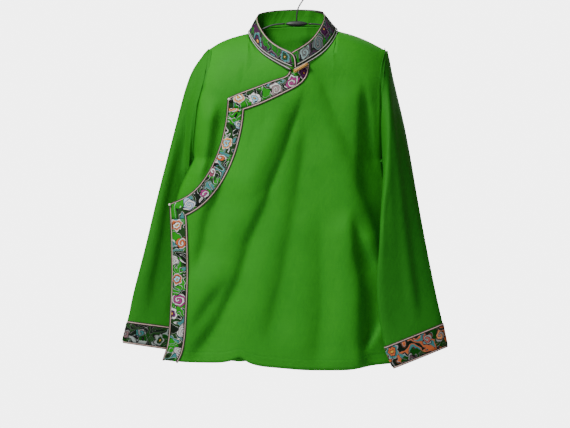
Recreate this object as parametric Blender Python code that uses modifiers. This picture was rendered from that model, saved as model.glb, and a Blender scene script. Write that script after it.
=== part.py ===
"""Side-closing stand-collar shirt with brocade edging, hanging on a wire-hook hanger.

Blender 4.5 script. All tables and sizes are in millimetres and meshes are written in metres.
The origin is where a rail touches the inside of the hook, X runs to the right as seen from the
front, the front faces -Y and Z is up. A drop is a distance below the origin. The shirt's own
tables measure x from a line 27 mm to the left of the hook.
"""

import math
from collections import namedtuple

import bmesh
import bpy
import numpy as np
from mathutils import Vector

MM = 0.001

SHIRT_OFFSET = np.array([-27.0, 0.0, 0.0])

# Cloth and edging
CLOTH = 1.2
SEAM_GAP = 0.3
SEAM_SPARE = 0.3
LAID_GAP = 0.4
BROCADE = 1.0
BROCADE_WIDTH = 30.0
PIPING_RADIUS = 1.2
BUTTON_RADIUS = 3.0
NECK_LOOP_RADIUS = 3.4
NECK_LOOP_OUT = 8.1

# How many cells each stretch of a panel has
ARMHOLE_ROWS = 10
SIDE_ROWS = 13
ROWS = ARMHOLE_ROWS + SIDE_ROWS
CORNER_ROW = 11
SHOULDER_CELLS = 4
NECK_QUARTER_CELLS = 8
BACK_NECK_CELLS = 12
SLANT_CELLS = 7
SLEEVE_RINGS = 24
CUFF_RINGS = 2
ARMHOLE_BLEND = 3.0

# Neck ring: its centre and half sizes where it joins the body, and at the collar's top edge
NECK_X = 19.0
NECK_HALF_WIDTH = 95.0
NECK_FRONT = 74.0
NECK_BACK = 40.0
NECK_TILT = 2.5
COLLAR_X = 14.5
COLLAR_HALF_WIDTH = 74.0
COLLAR_FRONT = 68.0
COLLAR_BACK = 34.0
FRONT_END = 1.5
COLLAR_START = 0.3
COLLAR_LAP = 5.5
COLLAR_REACH = 7.0
COLLAR_RAISED = 0.5
# Levels of the collar as shares of its height: the brocade's edges and two rows between them,
# and where the front end's piping starts.
BAND_FROM = 0.22
BAND_LEVELS = (0.5, 0.78)
BAND_TO = 0.97
FRONT_CORD_FROM = 0.16
RING_BULGE = 1.5
# How far the base cord stands off the seam, and how much shorter the lower cords are at the front,
# in cord lifts.
BASE_CORD_OUT = 1.86
BASE_CORD_CUT = 2.0
MIDDLE_CORD_CUT = 3.5
FRONT_END_OUT = 3.5

NeckAngle = namedtuple("NeckAngle", "angle front_drop back_drop top_drop")
# The angle is 0 at the front notch and 90 at the shoulder seam; back_drop runs on to 90 at the
# centre back, counted from the shoulder. top_drop is the collar's top edge on the front half.
NECK = [
    NeckAngle(0, 187, 101, 152),
    NeckAngle(16, 172, 97, 141),
    NeckAngle(31, 159, 94, 130),
    NeckAngle(47, 144, 91, 114),
    NeckAngle(64, 124, 89, 94),
    NeckAngle(90, 101, 88, 70),
]
BACK_TOP_AT_SIDE = 70.0
BACK_TOP_MIDDLE = 53.0
BACK_TOP_SQUARE = 0.6

ShoulderPoint = namedtuple("ShoulderPoint", "x drop")
LEFT_SHOULDER = [
    ShoulderPoint(-161, 138),
    ShoulderPoint(-146, 127),
    ShoulderPoint(-127, 118),
    ShoulderPoint(-103, 110),
    ShoulderPoint(-76, 103.5),
]
RIGHT_SHOULDER = [
    ShoulderPoint(114, 98.5),
    ShoulderPoint(152, 108),
    ShoulderPoint(174, 117),
    ShoulderPoint(198, 129),
    ShoulderPoint(221, 142),
]

BodySection = namedtuple("BodySection", "drop left right edge front back")
# left and right are the armhole edges down to the armpit and the side seams below it. edge is
# half the armhole's depth, front and back the depths at the middle of the body.
BODY = [
    BodySection(90, -161, 221, 14, 66, 42),
    BodySection(140, -161, 221, 20, 68, 44),
    BodySection(165, -164, 214, 30, 70, 45),
    BodySection(204, -169, 210.5, 38, 72, 46),
    BodySection(247, -183, 209, 37, 71, 48),
    BodySection(310, -191, 208, 24, 68, 49),
    BodySection(350, -195, 209.5, 10, 66, 48),
    BodySection(376, -196, 211, 0.15, 64, 48),
    BodySection(421, -219, 217, 0.15, 62, 47),
    BodySection(471, -234, 225, 0.15, 60, 46),
    BodySection(613, -233, 236, 0.15, 56, 43),
    BodySection(720, -237, 239, 0.15, 52, 40),
    BodySection(812, -239, 237, 0.15, 48, 37),
]
ARMPIT_DROP = 376.0
ROLL = 90.0
BELLY_POWER = 2.4
BELLY_SOFT = 0.6
FLAP_NARROWING = 0.93
LAYER_CLEARANCE = 3.0
HIDDEN_INSET = 12.0
INSET_REACH = 70.0
CLEARANCE_FROM = 20.0
CLEARANCE_TO = 75.0

HemPoint = namedtuple("HemPoint", "x drop")
FRONT_HEM = [
    HemPoint(-258, 807),
    HemPoint(-181, 811),
    HemPoint(-135, 811),
    HemPoint(-114, 808),
    HemPoint(-98, 803),
    HemPoint(-82, 809),
    HemPoint(-56, 817.5),
    HemPoint(-9, 822),
    HemPoint(60, 827),
    HemPoint(133, 827),
    HemPoint(159, 823.5),
    HemPoint(187, 817),
    HemPoint(237, 813),
]
BACK_HEM_DROP = 809.0
UNDER_HEM_DROP = 800.0
UNDER_HEM_X = 6.0
HEM_ROWS = 5

EdgePoint = namedtuple("EdgePoint", "x drop")
# Outer border of the front's edging: down the slant, round the curve and down the side.
SLANT = [
    EdgePoint(-117, 247),
    EdgePoint(-88, 235),
    EdgePoint(-55, 223),
    EdgePoint(-21, 210),
    EdgePoint(9, 201),
]
CURVE = [
    EdgePoint(-117, 247),
    EdgePoint(-119, 278),
    EdgePoint(-129, 331),
    EdgePoint(-154, 396),
    EdgePoint(-191, 446),
    EdgePoint(-219, 464),
    EdgePoint(-243, 472),
]
SIDE = [
    EdgePoint(-243, 472),
    EdgePoint(-240, 518),
    EdgePoint(-238, 613),
    EdgePoint(-242, 720),
    EdgePoint(-246, 771),
    EdgePoint(-258, 806),
]
# Lower border of the slant's edging, after its corner, to where it turns up to the collar.
SLANT_UNDERSIDE = [
    EdgePoint(-55, 256),
    EdgePoint(-21, 241),
    EdgePoint(6, 228),
    EdgePoint(27, 217),
    EdgePoint(41, 206),
    EdgePoint(49, 193),
]
END_ANGLES = (9.0, 19.0)
CORNER_ROOM = 8.0
FIRST_FALL = 18.0

Fold = namedtuple("Fold", "x0 drop0 x1 drop1 depth wide0 wide1")
FRONT_FOLDS = [
    Fold(34, 241, -60, 484, 7.0, 9, 15),
    Fold(-60, 484, -170, 752, 7.0, 16, 26),
    Fold(2, 262, -96, 470, -3.0, 16, 24),
    Fold(43, 320, 9, 516, 4.0, 14, 20),
    Fold(9, 516, -47, 742, 4.0, 24, 34),
    Fold(71, 219, 160, 391, 5.0, 14, 18),
    Fold(168, 204, 157, 361, 5.0, 12, 14),
    Fold(157, 361, 208, 563, 7.0, 14, 18),
    Fold(148, 520, 160, 634, 6.0, 11, 13),
    Fold(205, 650, 168, 785, 8.0, 16, 20),
    Fold(73, 480, 77, 800, 5.0, 18, 32),
    Fold(120, 560, 124, 810, -4.0, 22, 30),
    Fold(-170, 490, -192, 640, 5.0, 12, 14),
    Fold(-108, 150, -110, 215, 4.0, 9, 9),
    Fold(-132, 250, -146, 360, 6.0, 14, 14),
]
BACK_FOLDS = [
    Fold(-60, 180, -120, 640, 5.0, 18, 34),
    Fold(95, 180, 150, 620, 5.0, 18, 32),
    Fold(18, 300, 6, 800, 5.0, 26, 44),
    Fold(-150, 420, -178, 790, 5.0, 18, 26),
    Fold(178, 420, 190, 790, 5.0, 18, 26),
    Fold(75, 520, 84, 810, -4.0, 24, 30),
    Fold(-88, 520, -80, 810, -4.0, 24, 30),
]
FOLD_ENDS = 0.22

SleeveRing = namedtuple(
    "SleeveRing", "outer_x outer_drop inner_x inner_drop outer_y inner_y half_depth"
)
# The ring's two ends as seen from the front, how far back each lies, and half its thickness.
LEFT_SLEEVE = [
    SleeveRing(-170, 144, -200, 383, 0, 5, 38),
    SleeveRing(-185, 161, -203, 389, 2, 10, 37),
    SleeveRing(-198, 183, -204, 398, 4, 18, 35),
    SleeveRing(-213, 226, -204, 419, 9, 33, 31),
    SleeveRing(-230, 290, -202, 451, 14, 48, 27),
    SleeveRing(-247, 355, -199, 492, 18, 58, 25),
    SleeveRing(-275, 462, -196, 561, 22, 62, 24),
    SleeveRing(-301, 570, -198, 643, 25, 60, 22),
    SleeveRing(-329, 677, -205, 716, 29, 58, 19),
    SleeveRing(-338, 726, -207.5, 744, 31, 56, 17),
    SleeveRing(-348, 766, -216, 786, 33, 55, 16),
]
RIGHT_SLEEVE = [
    SleeveRing(225, 148, 213, 381, 0, -5, 38),
    SleeveRing(229, 165, 213, 389, 2, -13, 37),
    SleeveRing(232, 187, 213.5, 400, 3, -24, 36),
    SleeveRing(241, 228, 212, 425, 4, -40, 33),
    SleeveRing(256, 290, 209, 459, 3, -54, 30),
    SleeveRing(269, 355, 206, 497, 0, -62, 27),
    SleeveRing(288, 466, 203, 566, -6, -68, 25),
    SleeveRing(308, 574, 197, 641, -14, -68, 23),
    SleeveRing(329, 677, 204, 724, -22, -66, 20),
    SleeveRing(341, 729, 216, 778, -27, -64, 18),
    SleeveRing(350, 772, 232, 818, -30, -62, 17),
]
CUFF_START = 9
CUFF_SHORT = 0.5
ARMHOLE_AWAY = 1.35
RING_POWER = 0.8

RingPlace = namedtuple("RingPlace", ("ring", *SleeveRing._fields))

SleeveFold = namedtuple("SleeveFold", "turn0 turn1 ring0 ring1 depth wide")
# Turns are degrees round the ring, 90 at the middle of the front and 270 at the back.
LEFT_SLEEVE_FOLDS = [
    SleeveFold(100, 78, 2.5, 9.2, 6.0, 17),
    SleeveFold(62, 60, 3.5, 7.0, 3.5, 14),
    SleeveFold(130, 118, 4.0, 8.6, 4.0, 14),
    SleeveFold(250, 262, 2.5, 8.8, 5.0, 18),
    SleeveFold(300, 296, 3.5, 7.5, 4.0, 15),
]
RIGHT_SLEEVE_FOLDS = [
    SleeveFold(80, 96, 2.5, 8.8, 5.0, 17),
    SleeveFold(124, 116, 4.5, 9.2, 4.0, 14),
    SleeveFold(258, 248, 2.5, 8.8, 5.0, 18),
    SleeveFold(300, 306, 3.5, 7.5, 4.0, 15),
]

# Hanger
HOOK_WIRE_RADIUS = 1.6
HOOK_INSIDE_RADIUS = 18.0
HOOK_START_ANGLE = -48.0
HOOK_END_ANGLE = 205.0
HOOK_STEM_DROP = 52.0
HOOK_CELLS = 18
HUB_DROP = 83.0
HUB_HALF_WIDTH = 25.0
HUB_HALF_HEIGHT = 6.0
HUB_HALF_DEPTH = 8.0
ARM_RADIUS = 3.0
ArmPoint = namedtuple("ArmPoint", "x drop")
HANGER_ARM = [
    ArmPoint(-182, 139.5),
    ArmPoint(-173, 134.5),
    ArmPoint(-154, 125.5),
    ArmPoint(-130, 117.5),
    ArmPoint(-103, 111),
    ArmPoint(-76, 96),
    ArmPoint(-52, 84),
    ArmPoint(52, 84),
    ArmPoint(70, 92),
    ArmPoint(87, 104.8),
    ArmPoint(125, 114.3),
    ArmPoint(147, 123.3),
    ArmPoint(171, 135.3),
    ArmPoint(180, 140.8),
]

PathPoint = namedtuple("PathPoint", "along x drop")

GREEN = (0.036, 0.26, 0.012)
BROCADE_TINT = (0.09, 0.13, 0.07)
PIPING_TINT = (0.60, 0.40, 0.33)
PEARL = (0.80, 0.78, 0.74)
LOOP_TINT = (0.62, 0.23, 0.02)
STEEL = (0.35, 0.33, 0.36)
HUB_TINT = (0.03, 0.035, 0.035)


def smooth(rows, key, value, at):
    """A cubic through a table's points that doesn't overshoot them."""
    x = np.array([getattr(row, key) for row in rows], float)
    y = np.array([getattr(row, value) for row in rows], float)
    step = np.diff(x)
    slope = np.diff(y) / step
    tangent = np.empty(len(x))
    tangent[0], tangent[-1] = slope[0], slope[-1]
    for i in range(1, len(x) - 1):
        before, after = slope[i - 1], slope[i]
        if before * after <= 0:
            tangent[i] = 0.0
            continue
        first, second = 2 * step[i] + step[i - 1], step[i] + 2 * step[i - 1]
        tangent[i] = (first + second) / (first / before + second / after)
    at = np.clip(np.asarray(at, float), x[0], x[-1])
    i = np.clip(np.searchsorted(x, at) - 1, 0, len(step) - 1)
    t = (at - x[i]) / step[i]
    return (
        (1 + 2 * t) * (1 - t) ** 2 * y[i]
        + t * (1 - t) ** 2 * step[i] * tangent[i]
        + t * t * (3 - 2 * t) * y[i + 1]
        + t * t * (t - 1) * step[i] * tangent[i + 1]
    )


def ease(value):
    """0 below 0, 1 above 1 and smooth between."""
    value = np.clip(value, 0, 1)
    return value * value * (3 - 2 * value)


def neck_ring(angle, back=False):
    """The neckline's x, y and drop at an angle in degrees, negative on the left."""
    turn = math.radians(angle)
    x = NECK_X + NECK_HALF_WIDTH * math.sin(turn)
    side = abs(angle)
    if back:
        y = NECK_BACK * math.cos(turn)
        drop = float(smooth(NECK, "angle", "back_drop", 90 - side))
    else:
        y = -NECK_FRONT * math.cos(turn)
        drop = float(smooth(NECK, "angle", "front_drop", side))
    return x, y, drop - NECK_TILT * math.sin(turn)


def top_line(x, back=False):
    """Where a panel starts above x: its y and drop on the shoulder seam or the neckline."""
    share = (x - NECK_X) / NECK_HALF_WIDTH
    if abs(share) < 1:
        _, y, drop = neck_ring(math.degrees(math.asin(share)), back)
        return y, drop
    rows = LEFT_SHOULDER if share < 0 else RIGHT_SHOULDER
    return 0.0, float(smooth(rows, "x", "drop", x))


def fold_depth(folds, x, drop):
    """How far all the folds push the cloth inwards at a point seen from the front."""
    total = 0.0
    for fold in folds:
        run = np.array([fold.x1 - fold.x0, fold.drop1 - fold.drop0], float)
        reach = np.array([x - fold.x0, drop - fold.drop0], float)
        along = float(reach @ run / (run @ run))
        clipped = min(1.0, max(0.0, along))
        away = float(np.linalg.norm(reach - run * clipped))
        wide = fold.wide0 + (fold.wide1 - fold.wide0) * clipped
        ends = float(ease(along / FOLD_ENDS) * ease((1 - along) / FOLD_ENDS))
        total += fold.depth * ends * math.exp(-((away / wide) ** 2))
    return total


def belly(across):
    """The body's roundness from 1 at its middle to 0 at its side seams."""
    return max(0.0, 1 - abs(across) ** BELLY_POWER) ** BELLY_SOFT


def body_depth(x, drop, column, narrowing=1.0):
    """Depth of the front or the back at a point, from the middle plane."""
    left = float(smooth(BODY, "drop", "left", drop))
    right = float(smooth(BODY, "drop", "right", drop))
    edge = float(smooth(BODY, "drop", "edge", drop))
    middle = float(smooth(BODY, "drop", column, drop))
    across = (2 * x - left - right) / (right - left)
    if across < 0:
        across *= narrowing
    return edge + (middle - edge) * belly(min(1.0, max(-1.0, across)))


def rolled(x, drop, depth, back=False):
    """The cloth's y: it leaves the shoulder seam or neckline and reaches its full depth lower."""
    top_y, top_drop = top_line(x, back)
    fall = min(1.0, max(0.0, (drop - top_drop) / ROLL))
    roll = math.sqrt(1 - (1 - fall) ** 2)
    return top_y + (depth - top_y) * roll, roll


def under_y(x, drop):
    """The under front's surface, sunk behind the outer front where that hides it."""
    y, roll = rolled(x, drop, -body_depth(x, drop, "front"))
    folds = fold_depth(FRONT_FOLDS, x, drop) * roll
    hidden = min(drop - float(smooth(SLANT, "x", "drop", x)), x - border_x(drop))
    return y + folds + HIDDEN_INSET * float(ease(hidden / INSET_REACH))


def outer_y(x, drop):
    """The outer front's surface, a layer in front of the under front on the left."""
    y, roll = rolled(x, drop, -body_depth(x, drop, "front", FLAP_NARROWING))
    folds = fold_depth(FRONT_FOLDS, x, drop) * roll
    share = (x - CLEARANCE_FROM) / (CLEARANCE_TO - CLEARANCE_FROM)
    return y + folds - LAYER_CLEARANCE * (1 - float(ease(share)))


def back_y(x, drop):
    """The back's surface."""
    y, roll = rolled(x, drop, body_depth(x, drop, "back"), back=True)
    return y - fold_depth(BACK_FOLDS, x, drop) * roll


def border_x(drop):
    """The edging's outer border at a drop, which runs far left above the slant."""
    if drop < CURVE[0].drop:
        return -1000.0
    rows = CURVE if drop < SIDE[0].drop else SIDE
    return float(smooth(rows, "drop", "x", drop))


def spaced(path, positions):
    """Points at given distances along a smooth path through (x, drop) points."""
    path = np.array(path, float)
    knots = np.concatenate([[0], np.cumsum(np.linalg.norm(np.diff(path, axis=0), axis=1))])
    table = [PathPoint(knot, point[0], point[1]) for knot, point in zip(knots, path)]
    x = smooth(table, "along", "x", positions)
    drop = smooth(table, "along", "drop", positions)
    return np.stack([x, drop], axis=1), knots[-1]


def length_of(path):
    """The length of a path through (x, drop) points."""
    path = np.array(path, float)
    return float(np.linalg.norm(np.diff(path, axis=0), axis=1).sum())


def beside(path, side):
    """Points one edging width to the side of each point of a path."""
    along = np.gradient(path, axis=0)
    along /= np.linalg.norm(along, axis=1)[:, None]
    return path + side * BROCADE_WIDTH * np.stack([-along[:, 1], along[:, 0]], axis=1)


def mitre(before, corner, after, side):
    """Where the edging's other border turns at a corner, and how far it is along each edge."""
    first = (corner - before) / np.linalg.norm(corner - before)
    second = (after - corner) / np.linalg.norm(after - corner)
    normals = [np.array([-d[1], d[0]]) * side for d in (first, second)]
    middle = normals[0] + normals[1]
    middle /= np.linalg.norm(middle)
    half = math.acos(float(np.clip(middle @ normals[0], -1, 1)))
    return corner + middle * BROCADE_WIDTH / math.cos(half), BROCADE_WIDTH * math.tan(half)


def armhole_share(row):
    """How far down the armhole a row is, closer together at its ends."""
    return (1 - math.cos(math.pi * row / ARMHOLE_ROWS)) / 2


def side_drop(row, top_drop, hem_drop):
    """The drop of a row on the armhole or side seam."""
    if row <= ARMHOLE_ROWS:
        return top_drop + (ARMPIT_DROP - top_drop) * armhole_share(row)
    return ARMPIT_DROP + (hem_drop - ARMPIT_DROP) * (row - ARMHOLE_ROWS) / SIDE_ROWS


def placed(flat, surface):
    """(x, drop) points put on a surface as x, y and z."""
    out = np.empty(flat.shape[:2] + (3,))
    for i, row in enumerate(flat):
        for j, (x, drop) in enumerate(row):
            out[i, j] = (x, surface(x, drop), -drop)
    return out


def outer_front_grid():
    """Columns start on the left border, the slant, the neckline and the right shoulder."""
    slant = [(p.x, p.drop) for p in SLANT]
    curve = [(p.x, p.drop) for p in CURVE]
    side = [(p.x, p.drop) for p in SIDE]
    corner_a, foot_a = mitre(np.array(slant[1]), np.array(slant[0]), np.array(curve[1]), -1)
    corner_b, foot_b = mitre(np.array(curve[-2]), np.array(curve[-1]), np.array(side[1]), -1)

    # Left border, top to bottom: outer points and the points one edging width in from them.
    curve_length = length_of(curve)
    positions = np.linspace(foot_a, curve_length - foot_b - CORNER_ROOM, CORNER_ROW - 1)
    on_curve, _ = spaced(curve, positions)
    side_length = length_of(side)
    on_side, _ = spaced(side, np.linspace(foot_b + CORNER_ROOM, side_length, ROWS - CORNER_ROW))
    left = np.concatenate([[curve[0]], on_curve, [curve[-1]], on_side])
    inner_curve, inner_side = beside(on_curve, -1), beside(on_side, -1)
    inner_curve[0] = corner_a
    inner_side[-1, 1] = float(smooth(FRONT_HEM, "x", "drop", inner_side[-1, 0]))
    inner = np.concatenate([[corner_a], inner_curve, [corner_b], inner_side])

    # Top border, left to right, and the first row below it.
    slant_length = length_of(slant)
    top_slant, _ = spaced(slant, np.linspace(foot_a, slant_length, SLANT_CELLS))
    top = [slant[0], *top_slant]
    for angle in (-FRONT_END, *END_ANGLES):
        x, _, drop = neck_ring(angle)
        top.append((x, drop))
    underside = [corner_a, *[(p.x, p.drop) for p in SLANT_UNDERSIDE]]
    spots = np.linspace(0, length_of(underside), len(top) - 1)
    below = [left[1], *spaced(underside, spots)[0]]
    rest = np.linspace(END_ANGLES[-1], 90, NECK_QUARTER_CELLS - 1)[1:]
    for angle in rest:
        x, _, drop = neck_ring(angle)
        top.append((x, drop))
        below.append((x - 2, drop + FIRST_FALL))
    armhole_top = RIGHT_SHOULDER[-1]
    last_fall = side_drop(1, armhole_top.drop, FRONT_HEM[-1].drop) - armhole_top.drop
    for k in range(1, SHOULDER_CELLS + 1):
        share = k / SHOULDER_CELLS
        x = RIGHT_SHOULDER[0].x + (armhole_top.x - RIGHT_SHOULDER[0].x) * share
        drop = float(smooth(RIGHT_SHOULDER, "x", "drop", x))
        fall = FIRST_FALL + (last_fall - FIRST_FALL) * share
        top.append((x, drop))
        below.append((x, drop + fall))
    top, below = np.array(top), np.array(below)

    columns = len(top)
    flat = np.empty((ROWS + 1, columns, 2))
    flat[0], flat[1] = top, below
    span = below[-1, 0] - below[1, 0]
    start_share = (below[1:, 0] - below[1, 0]) / span
    even_share = np.linspace(0, 1, columns - 1)
    last_drop = side_drop(1, armhole_top.drop, FRONT_HEM[-1].drop)
    line = below[1, 1] + (last_drop - below[1, 1]) * start_share
    sag = below[1:, 1] - line
    for row in range(1, ROWS + 1):
        drop_right = side_drop(row, armhole_top.drop, FRONT_HEM[-1].drop)
        right_x = float(smooth(BODY, "drop", "right", drop_right))
        fade = float(ease((row - 1) / (CORNER_ROW + 3)))
        share = start_share + (even_share - start_share) * fade
        flat[row, 0] = left[row]
        flat[row, 1:, 0] = inner[row, 0] + (right_x - inner[row, 0]) * share
        flat[row, 1:, 1] = inner[row, 1] + (drop_right - inner[row, 1]) * share
        flat[row, 1:, 1] += sag * (1 - min(1.0, (row - 1) / CORNER_ROW))
    for row in range(ROWS - HEM_ROWS, ROWS + 1):
        pull = 1 - (ROWS - row) / HEM_ROWS
        wanted = smooth(FRONT_HEM, "x", "drop", flat[row, 1:, 0])
        plain = flat[ROWS, 1, 1] + (flat[ROWS, -1, 1] - flat[ROWS, 1, 1]) * even_share
        flat[row, 1:, 1] += (wanted - plain) * pull
    return placed(flat, outer_y)


def plain_panel(top, left_top, right_x_of, hem_of, surface):
    """A panel whose rows share the armhole's spacing and whose columns hang from top."""
    flat = np.empty((ROWS + 1, len(top), 2))
    top = np.array(top, float)
    start_share = (top[:, 0] - top[0, 0]) / (top[-1, 0] - top[0, 0])
    even_share = np.linspace(0, 1, len(top))
    for row in range(ROWS + 1):
        drop_left = side_drop(row, left_top, hem_of(top[0, 0]))
        left_x = float(smooth(BODY, "drop", "left", drop_left))
        right_x = right_x_of(row)
        fade = float(ease(row / ROWS))
        share = start_share + (even_share - start_share) * fade
        xs = left_x + (right_x - left_x) * share
        if row == 0:
            xs = top[:, 0]
        for column, x in enumerate(xs):
            if row <= ARMHOLE_ROWS:
                drop = top[column, 1] + (ARMPIT_DROP - top[column, 1]) * armhole_share(row)
            else:
                share_down = (row - ARMHOLE_ROWS) / SIDE_ROWS
                drop = ARMPIT_DROP + (hem_of(x) - ARMPIT_DROP) * share_down
            flat[row, column] = (x, drop)
    return placed(flat, surface)


def left_shoulder_top():
    """The left shoulder's seam from its point to the neck, without the last point."""
    xs = np.linspace(LEFT_SHOULDER[0].x, LEFT_SHOULDER[-1].x, SHOULDER_CELLS + 1)[:-1]
    return [(x, float(smooth(LEFT_SHOULDER, "x", "drop", x))) for x in xs]


def under_front_grid():
    """The under front from the left shoulder and neckline down to its slanting right edge."""
    top = left_shoulder_top()
    for angle in np.linspace(-90, -FRONT_END, NECK_QUARTER_CELLS + 1):
        x, _, drop = neck_ring(angle)
        top.append((x, drop))
    top_x = top[-1][0]

    def right_x(row):
        return top_x + (UNDER_HEM_X - top_x) * row / ROWS

    return plain_panel(top, LEFT_SHOULDER[0].drop, right_x, lambda x: UNDER_HEM_DROP, under_y)


def back_grid():
    """The back from shoulder to shoulder."""
    top = left_shoulder_top()
    for angle in np.linspace(-90, 90, BACK_NECK_CELLS + 1):
        x, _, drop = neck_ring(angle, back=True)
        top.append((x, drop))
    xs = np.linspace(RIGHT_SHOULDER[0].x, RIGHT_SHOULDER[-1].x, SHOULDER_CELLS + 1)[1:]
    top += [(x, float(smooth(RIGHT_SHOULDER, "x", "drop", x))) for x in xs]

    def right_x(row):
        if row == 0:
            return RIGHT_SHOULDER[-1].x
        drop = side_drop(row, RIGHT_SHOULDER[-1].drop, BACK_HEM_DROP)
        return float(smooth(BODY, "drop", "right", drop))

    return plain_panel(top, LEFT_SHOULDER[0].drop, right_x, lambda x: BACK_HEM_DROP, back_y)


def material(name, colour, roughness, metallic=0.0):
    """A plain material."""
    made = bpy.data.materials.new(name)
    made.use_nodes = True
    shader = made.node_tree.nodes["Principled BSDF"]
    shader.inputs["Base Color"].default_value = (*colour, 1)
    shader.inputs["Roughness"].default_value = roughness
    shader.inputs["Metallic"].default_value = metallic
    return made


def add_object(name, data, finish, home):
    """An object with one material, placed in a collection."""
    made = bpy.data.objects.new(name, data)
    home.objects.link(made)
    data.materials.append(finish)
    return made


def grid_mesh(name, grid, closed=False):
    """A mesh of one grid of points in millimetres; a closed grid's last column is its first."""
    rows, columns = grid.shape[:2]
    bm = bmesh.new()
    bmesh.ops.create_grid(bm, x_segments=columns - 1, y_segments=rows - 1, size=0.5)
    order = sorted(bm.verts, key=lambda v: (round(v.co.y, 5), round(v.co.x, 5)))
    for vert, point in zip(order, grid.reshape(-1, 3)):
        vert.co = Vector((point + SHIRT_OFFSET) * MM)
    if closed:
        bmesh.ops.remove_doubles(bm, verts=bm.verts, dist=1e-7)
    bm.normal_update()
    mesh = bpy.data.meshes.new(name)
    return bm, mesh


def cloth(name, grid, outward, finish, home, wall=CLOTH, closed=False, outside=False):
    """A wall of cloth on a grid. It thickens inwards, or outwards for what lies on a panel."""
    bm, mesh = grid_mesh(name, grid, closed)
    facing = 0.0
    for face in bm.faces:
        centre = np.array(face.calc_center_median()) / MM - SHIRT_OFFSET
        away = centre - np.array(outward(centre))
        facing += float(np.array(face.normal) @ away)
    if facing < 0:
        bmesh.ops.reverse_faces(bm, faces=bm.faces)
    for face in bm.faces:
        face.smooth = True
    bm.to_mesh(mesh)
    bm.free()
    made = add_object(name, mesh, finish, home)
    wall_maker = made.modifiers.new("Wall", "SOLIDIFY")
    wall_maker.thickness = wall * MM
    wall_maker.offset = 1.0 if outside else -1.0
    wall_maker.use_rim = True
    return made


def cord(name, points, radius, finish, home, closed=False, sides=0, offset=SHIRT_OFFSET):
    """A cord through points in millimetres, with filled ends."""
    curve = bpy.data.curves.new(name, "CURVE")
    curve.dimensions = "3D"
    curve.bevel_depth = radius * MM
    curve.bevel_resolution = sides
    curve.use_fill_caps = not closed
    spline = curve.splines.new("POLY")
    spline.points.add(len(points) - 1)
    for place, point in zip(spline.points, points):
        place.co = (*((np.array(point) + offset) * MM), 1)
    spline.use_cyclic_u = closed
    spline.use_smooth = True
    return add_object(name, curve, finish, home)


def ball(name, centre, sizes, finish, home, offset=SHIRT_OFFSET):
    """A ball with its half sizes in x, y and z."""
    bm = bmesh.new()
    bmesh.ops.create_uvsphere(bm, u_segments=14, v_segments=8, radius=MM)
    for vert in bm.verts:
        scaled = np.array(vert.co) * np.array(sizes) + (np.array(centre) + offset) * MM
        vert.co = Vector(scaled)
    for face in bm.faces:
        face.smooth = True
    mesh = bpy.data.meshes.new(name)
    bm.to_mesh(mesh)
    bm.free()
    return add_object(name, mesh, finish, home)


def middle_of_body(point):
    """The middle plane's point a panel faces away from."""
    return (point[0] * 0.8, 0.0, point[2] - 20.0)


def unit(vectors):
    return vectors / np.maximum(np.linalg.norm(vectors, axis=-1, keepdims=True), 1e-9)


def surface_normals(grid, closed=False):
    """Normals at a grid's points, turned away from the middle plane or from the tube's axis."""
    if closed:
        ring = grid[:, :-1]
        across = np.roll(ring, -1, axis=1) - np.roll(ring, 1, axis=1)
        down = np.gradient(ring, axis=0)
        normals = unit(np.cross(across, down))
        away = ring - ring.mean(axis=1, keepdims=True)
        if (normals * away).sum() < 0:
            normals = -normals
        return np.concatenate([normals, normals[:, :1]], axis=1)
    normals = unit(np.cross(np.gradient(grid, axis=1), np.gradient(grid, axis=0)))
    middle = np.array([middle_of_body(p) for p in grid.reshape(-1, 3)]).reshape(grid.shape)
    return normals if (normals * (grid - middle)).sum() > 0 else -normals


def open_seams(grid, back, rows, columns):
    """Moves the seam points so that the wall, which thickens inwards, stops short of y = 0."""
    sign = 1.0 if back else -1.0
    for _ in range(3):
        normals = surface_normals(grid)
        for row, column in [(r, c) for r in rows for c in columns]:
            lean = min(1.0, abs(normals[row, column, 1]) + SEAM_SPARE)
            reach = SEAM_GAP / 2 + CLOTH * lean
            grid[row, column, 1] = sign * max(reach, sign * grid[row, column, 1])


def main_panels(finishes, home):
    """The outer front, the under front and the back."""
    outer, under, back = outer_front_grid(), under_front_grid(), back_grid()
    last = ROWS + 1
    seam_rows = range(ARMHOLE_ROWS, last)
    left_top, right_top = range(SHOULDER_CELLS + 1), range(-SHOULDER_CELLS - 1, 0)
    open_seams(outer, False, seam_rows, (-1,))
    open_seams(outer, False, (0,), right_top)
    open_seams(under, False, seam_rows, (0,))
    open_seams(under, False, (0,), left_top)
    open_seams(back, True, seam_rows, (0, -1))
    open_seams(back, True, (0,), (*left_top, *right_top))
    for name, grid in (("front_outer", outer), ("front_under", under), ("back", back)):
        cloth(name, grid, middle_of_body, finishes["cloth"], home)
    return outer, under, back


def armhole_ring(front, back, column, away):
    """The armhole's edge points in ring order: top, front, armpit, back."""
    tops = (front[0, column] + back[0, column]) / 2
    bottoms = (front[ARMHOLE_ROWS, column] + back[ARMHOLE_ROWS, column]) / 2
    ring = [tops, *front[1:ARMHOLE_ROWS, column], bottoms]
    ring += [*back[ARMHOLE_ROWS - 1 : 0 : -1, column]]
    return np.array(ring) + np.array([away * ARMHOLE_AWAY, 0, 0])


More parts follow.
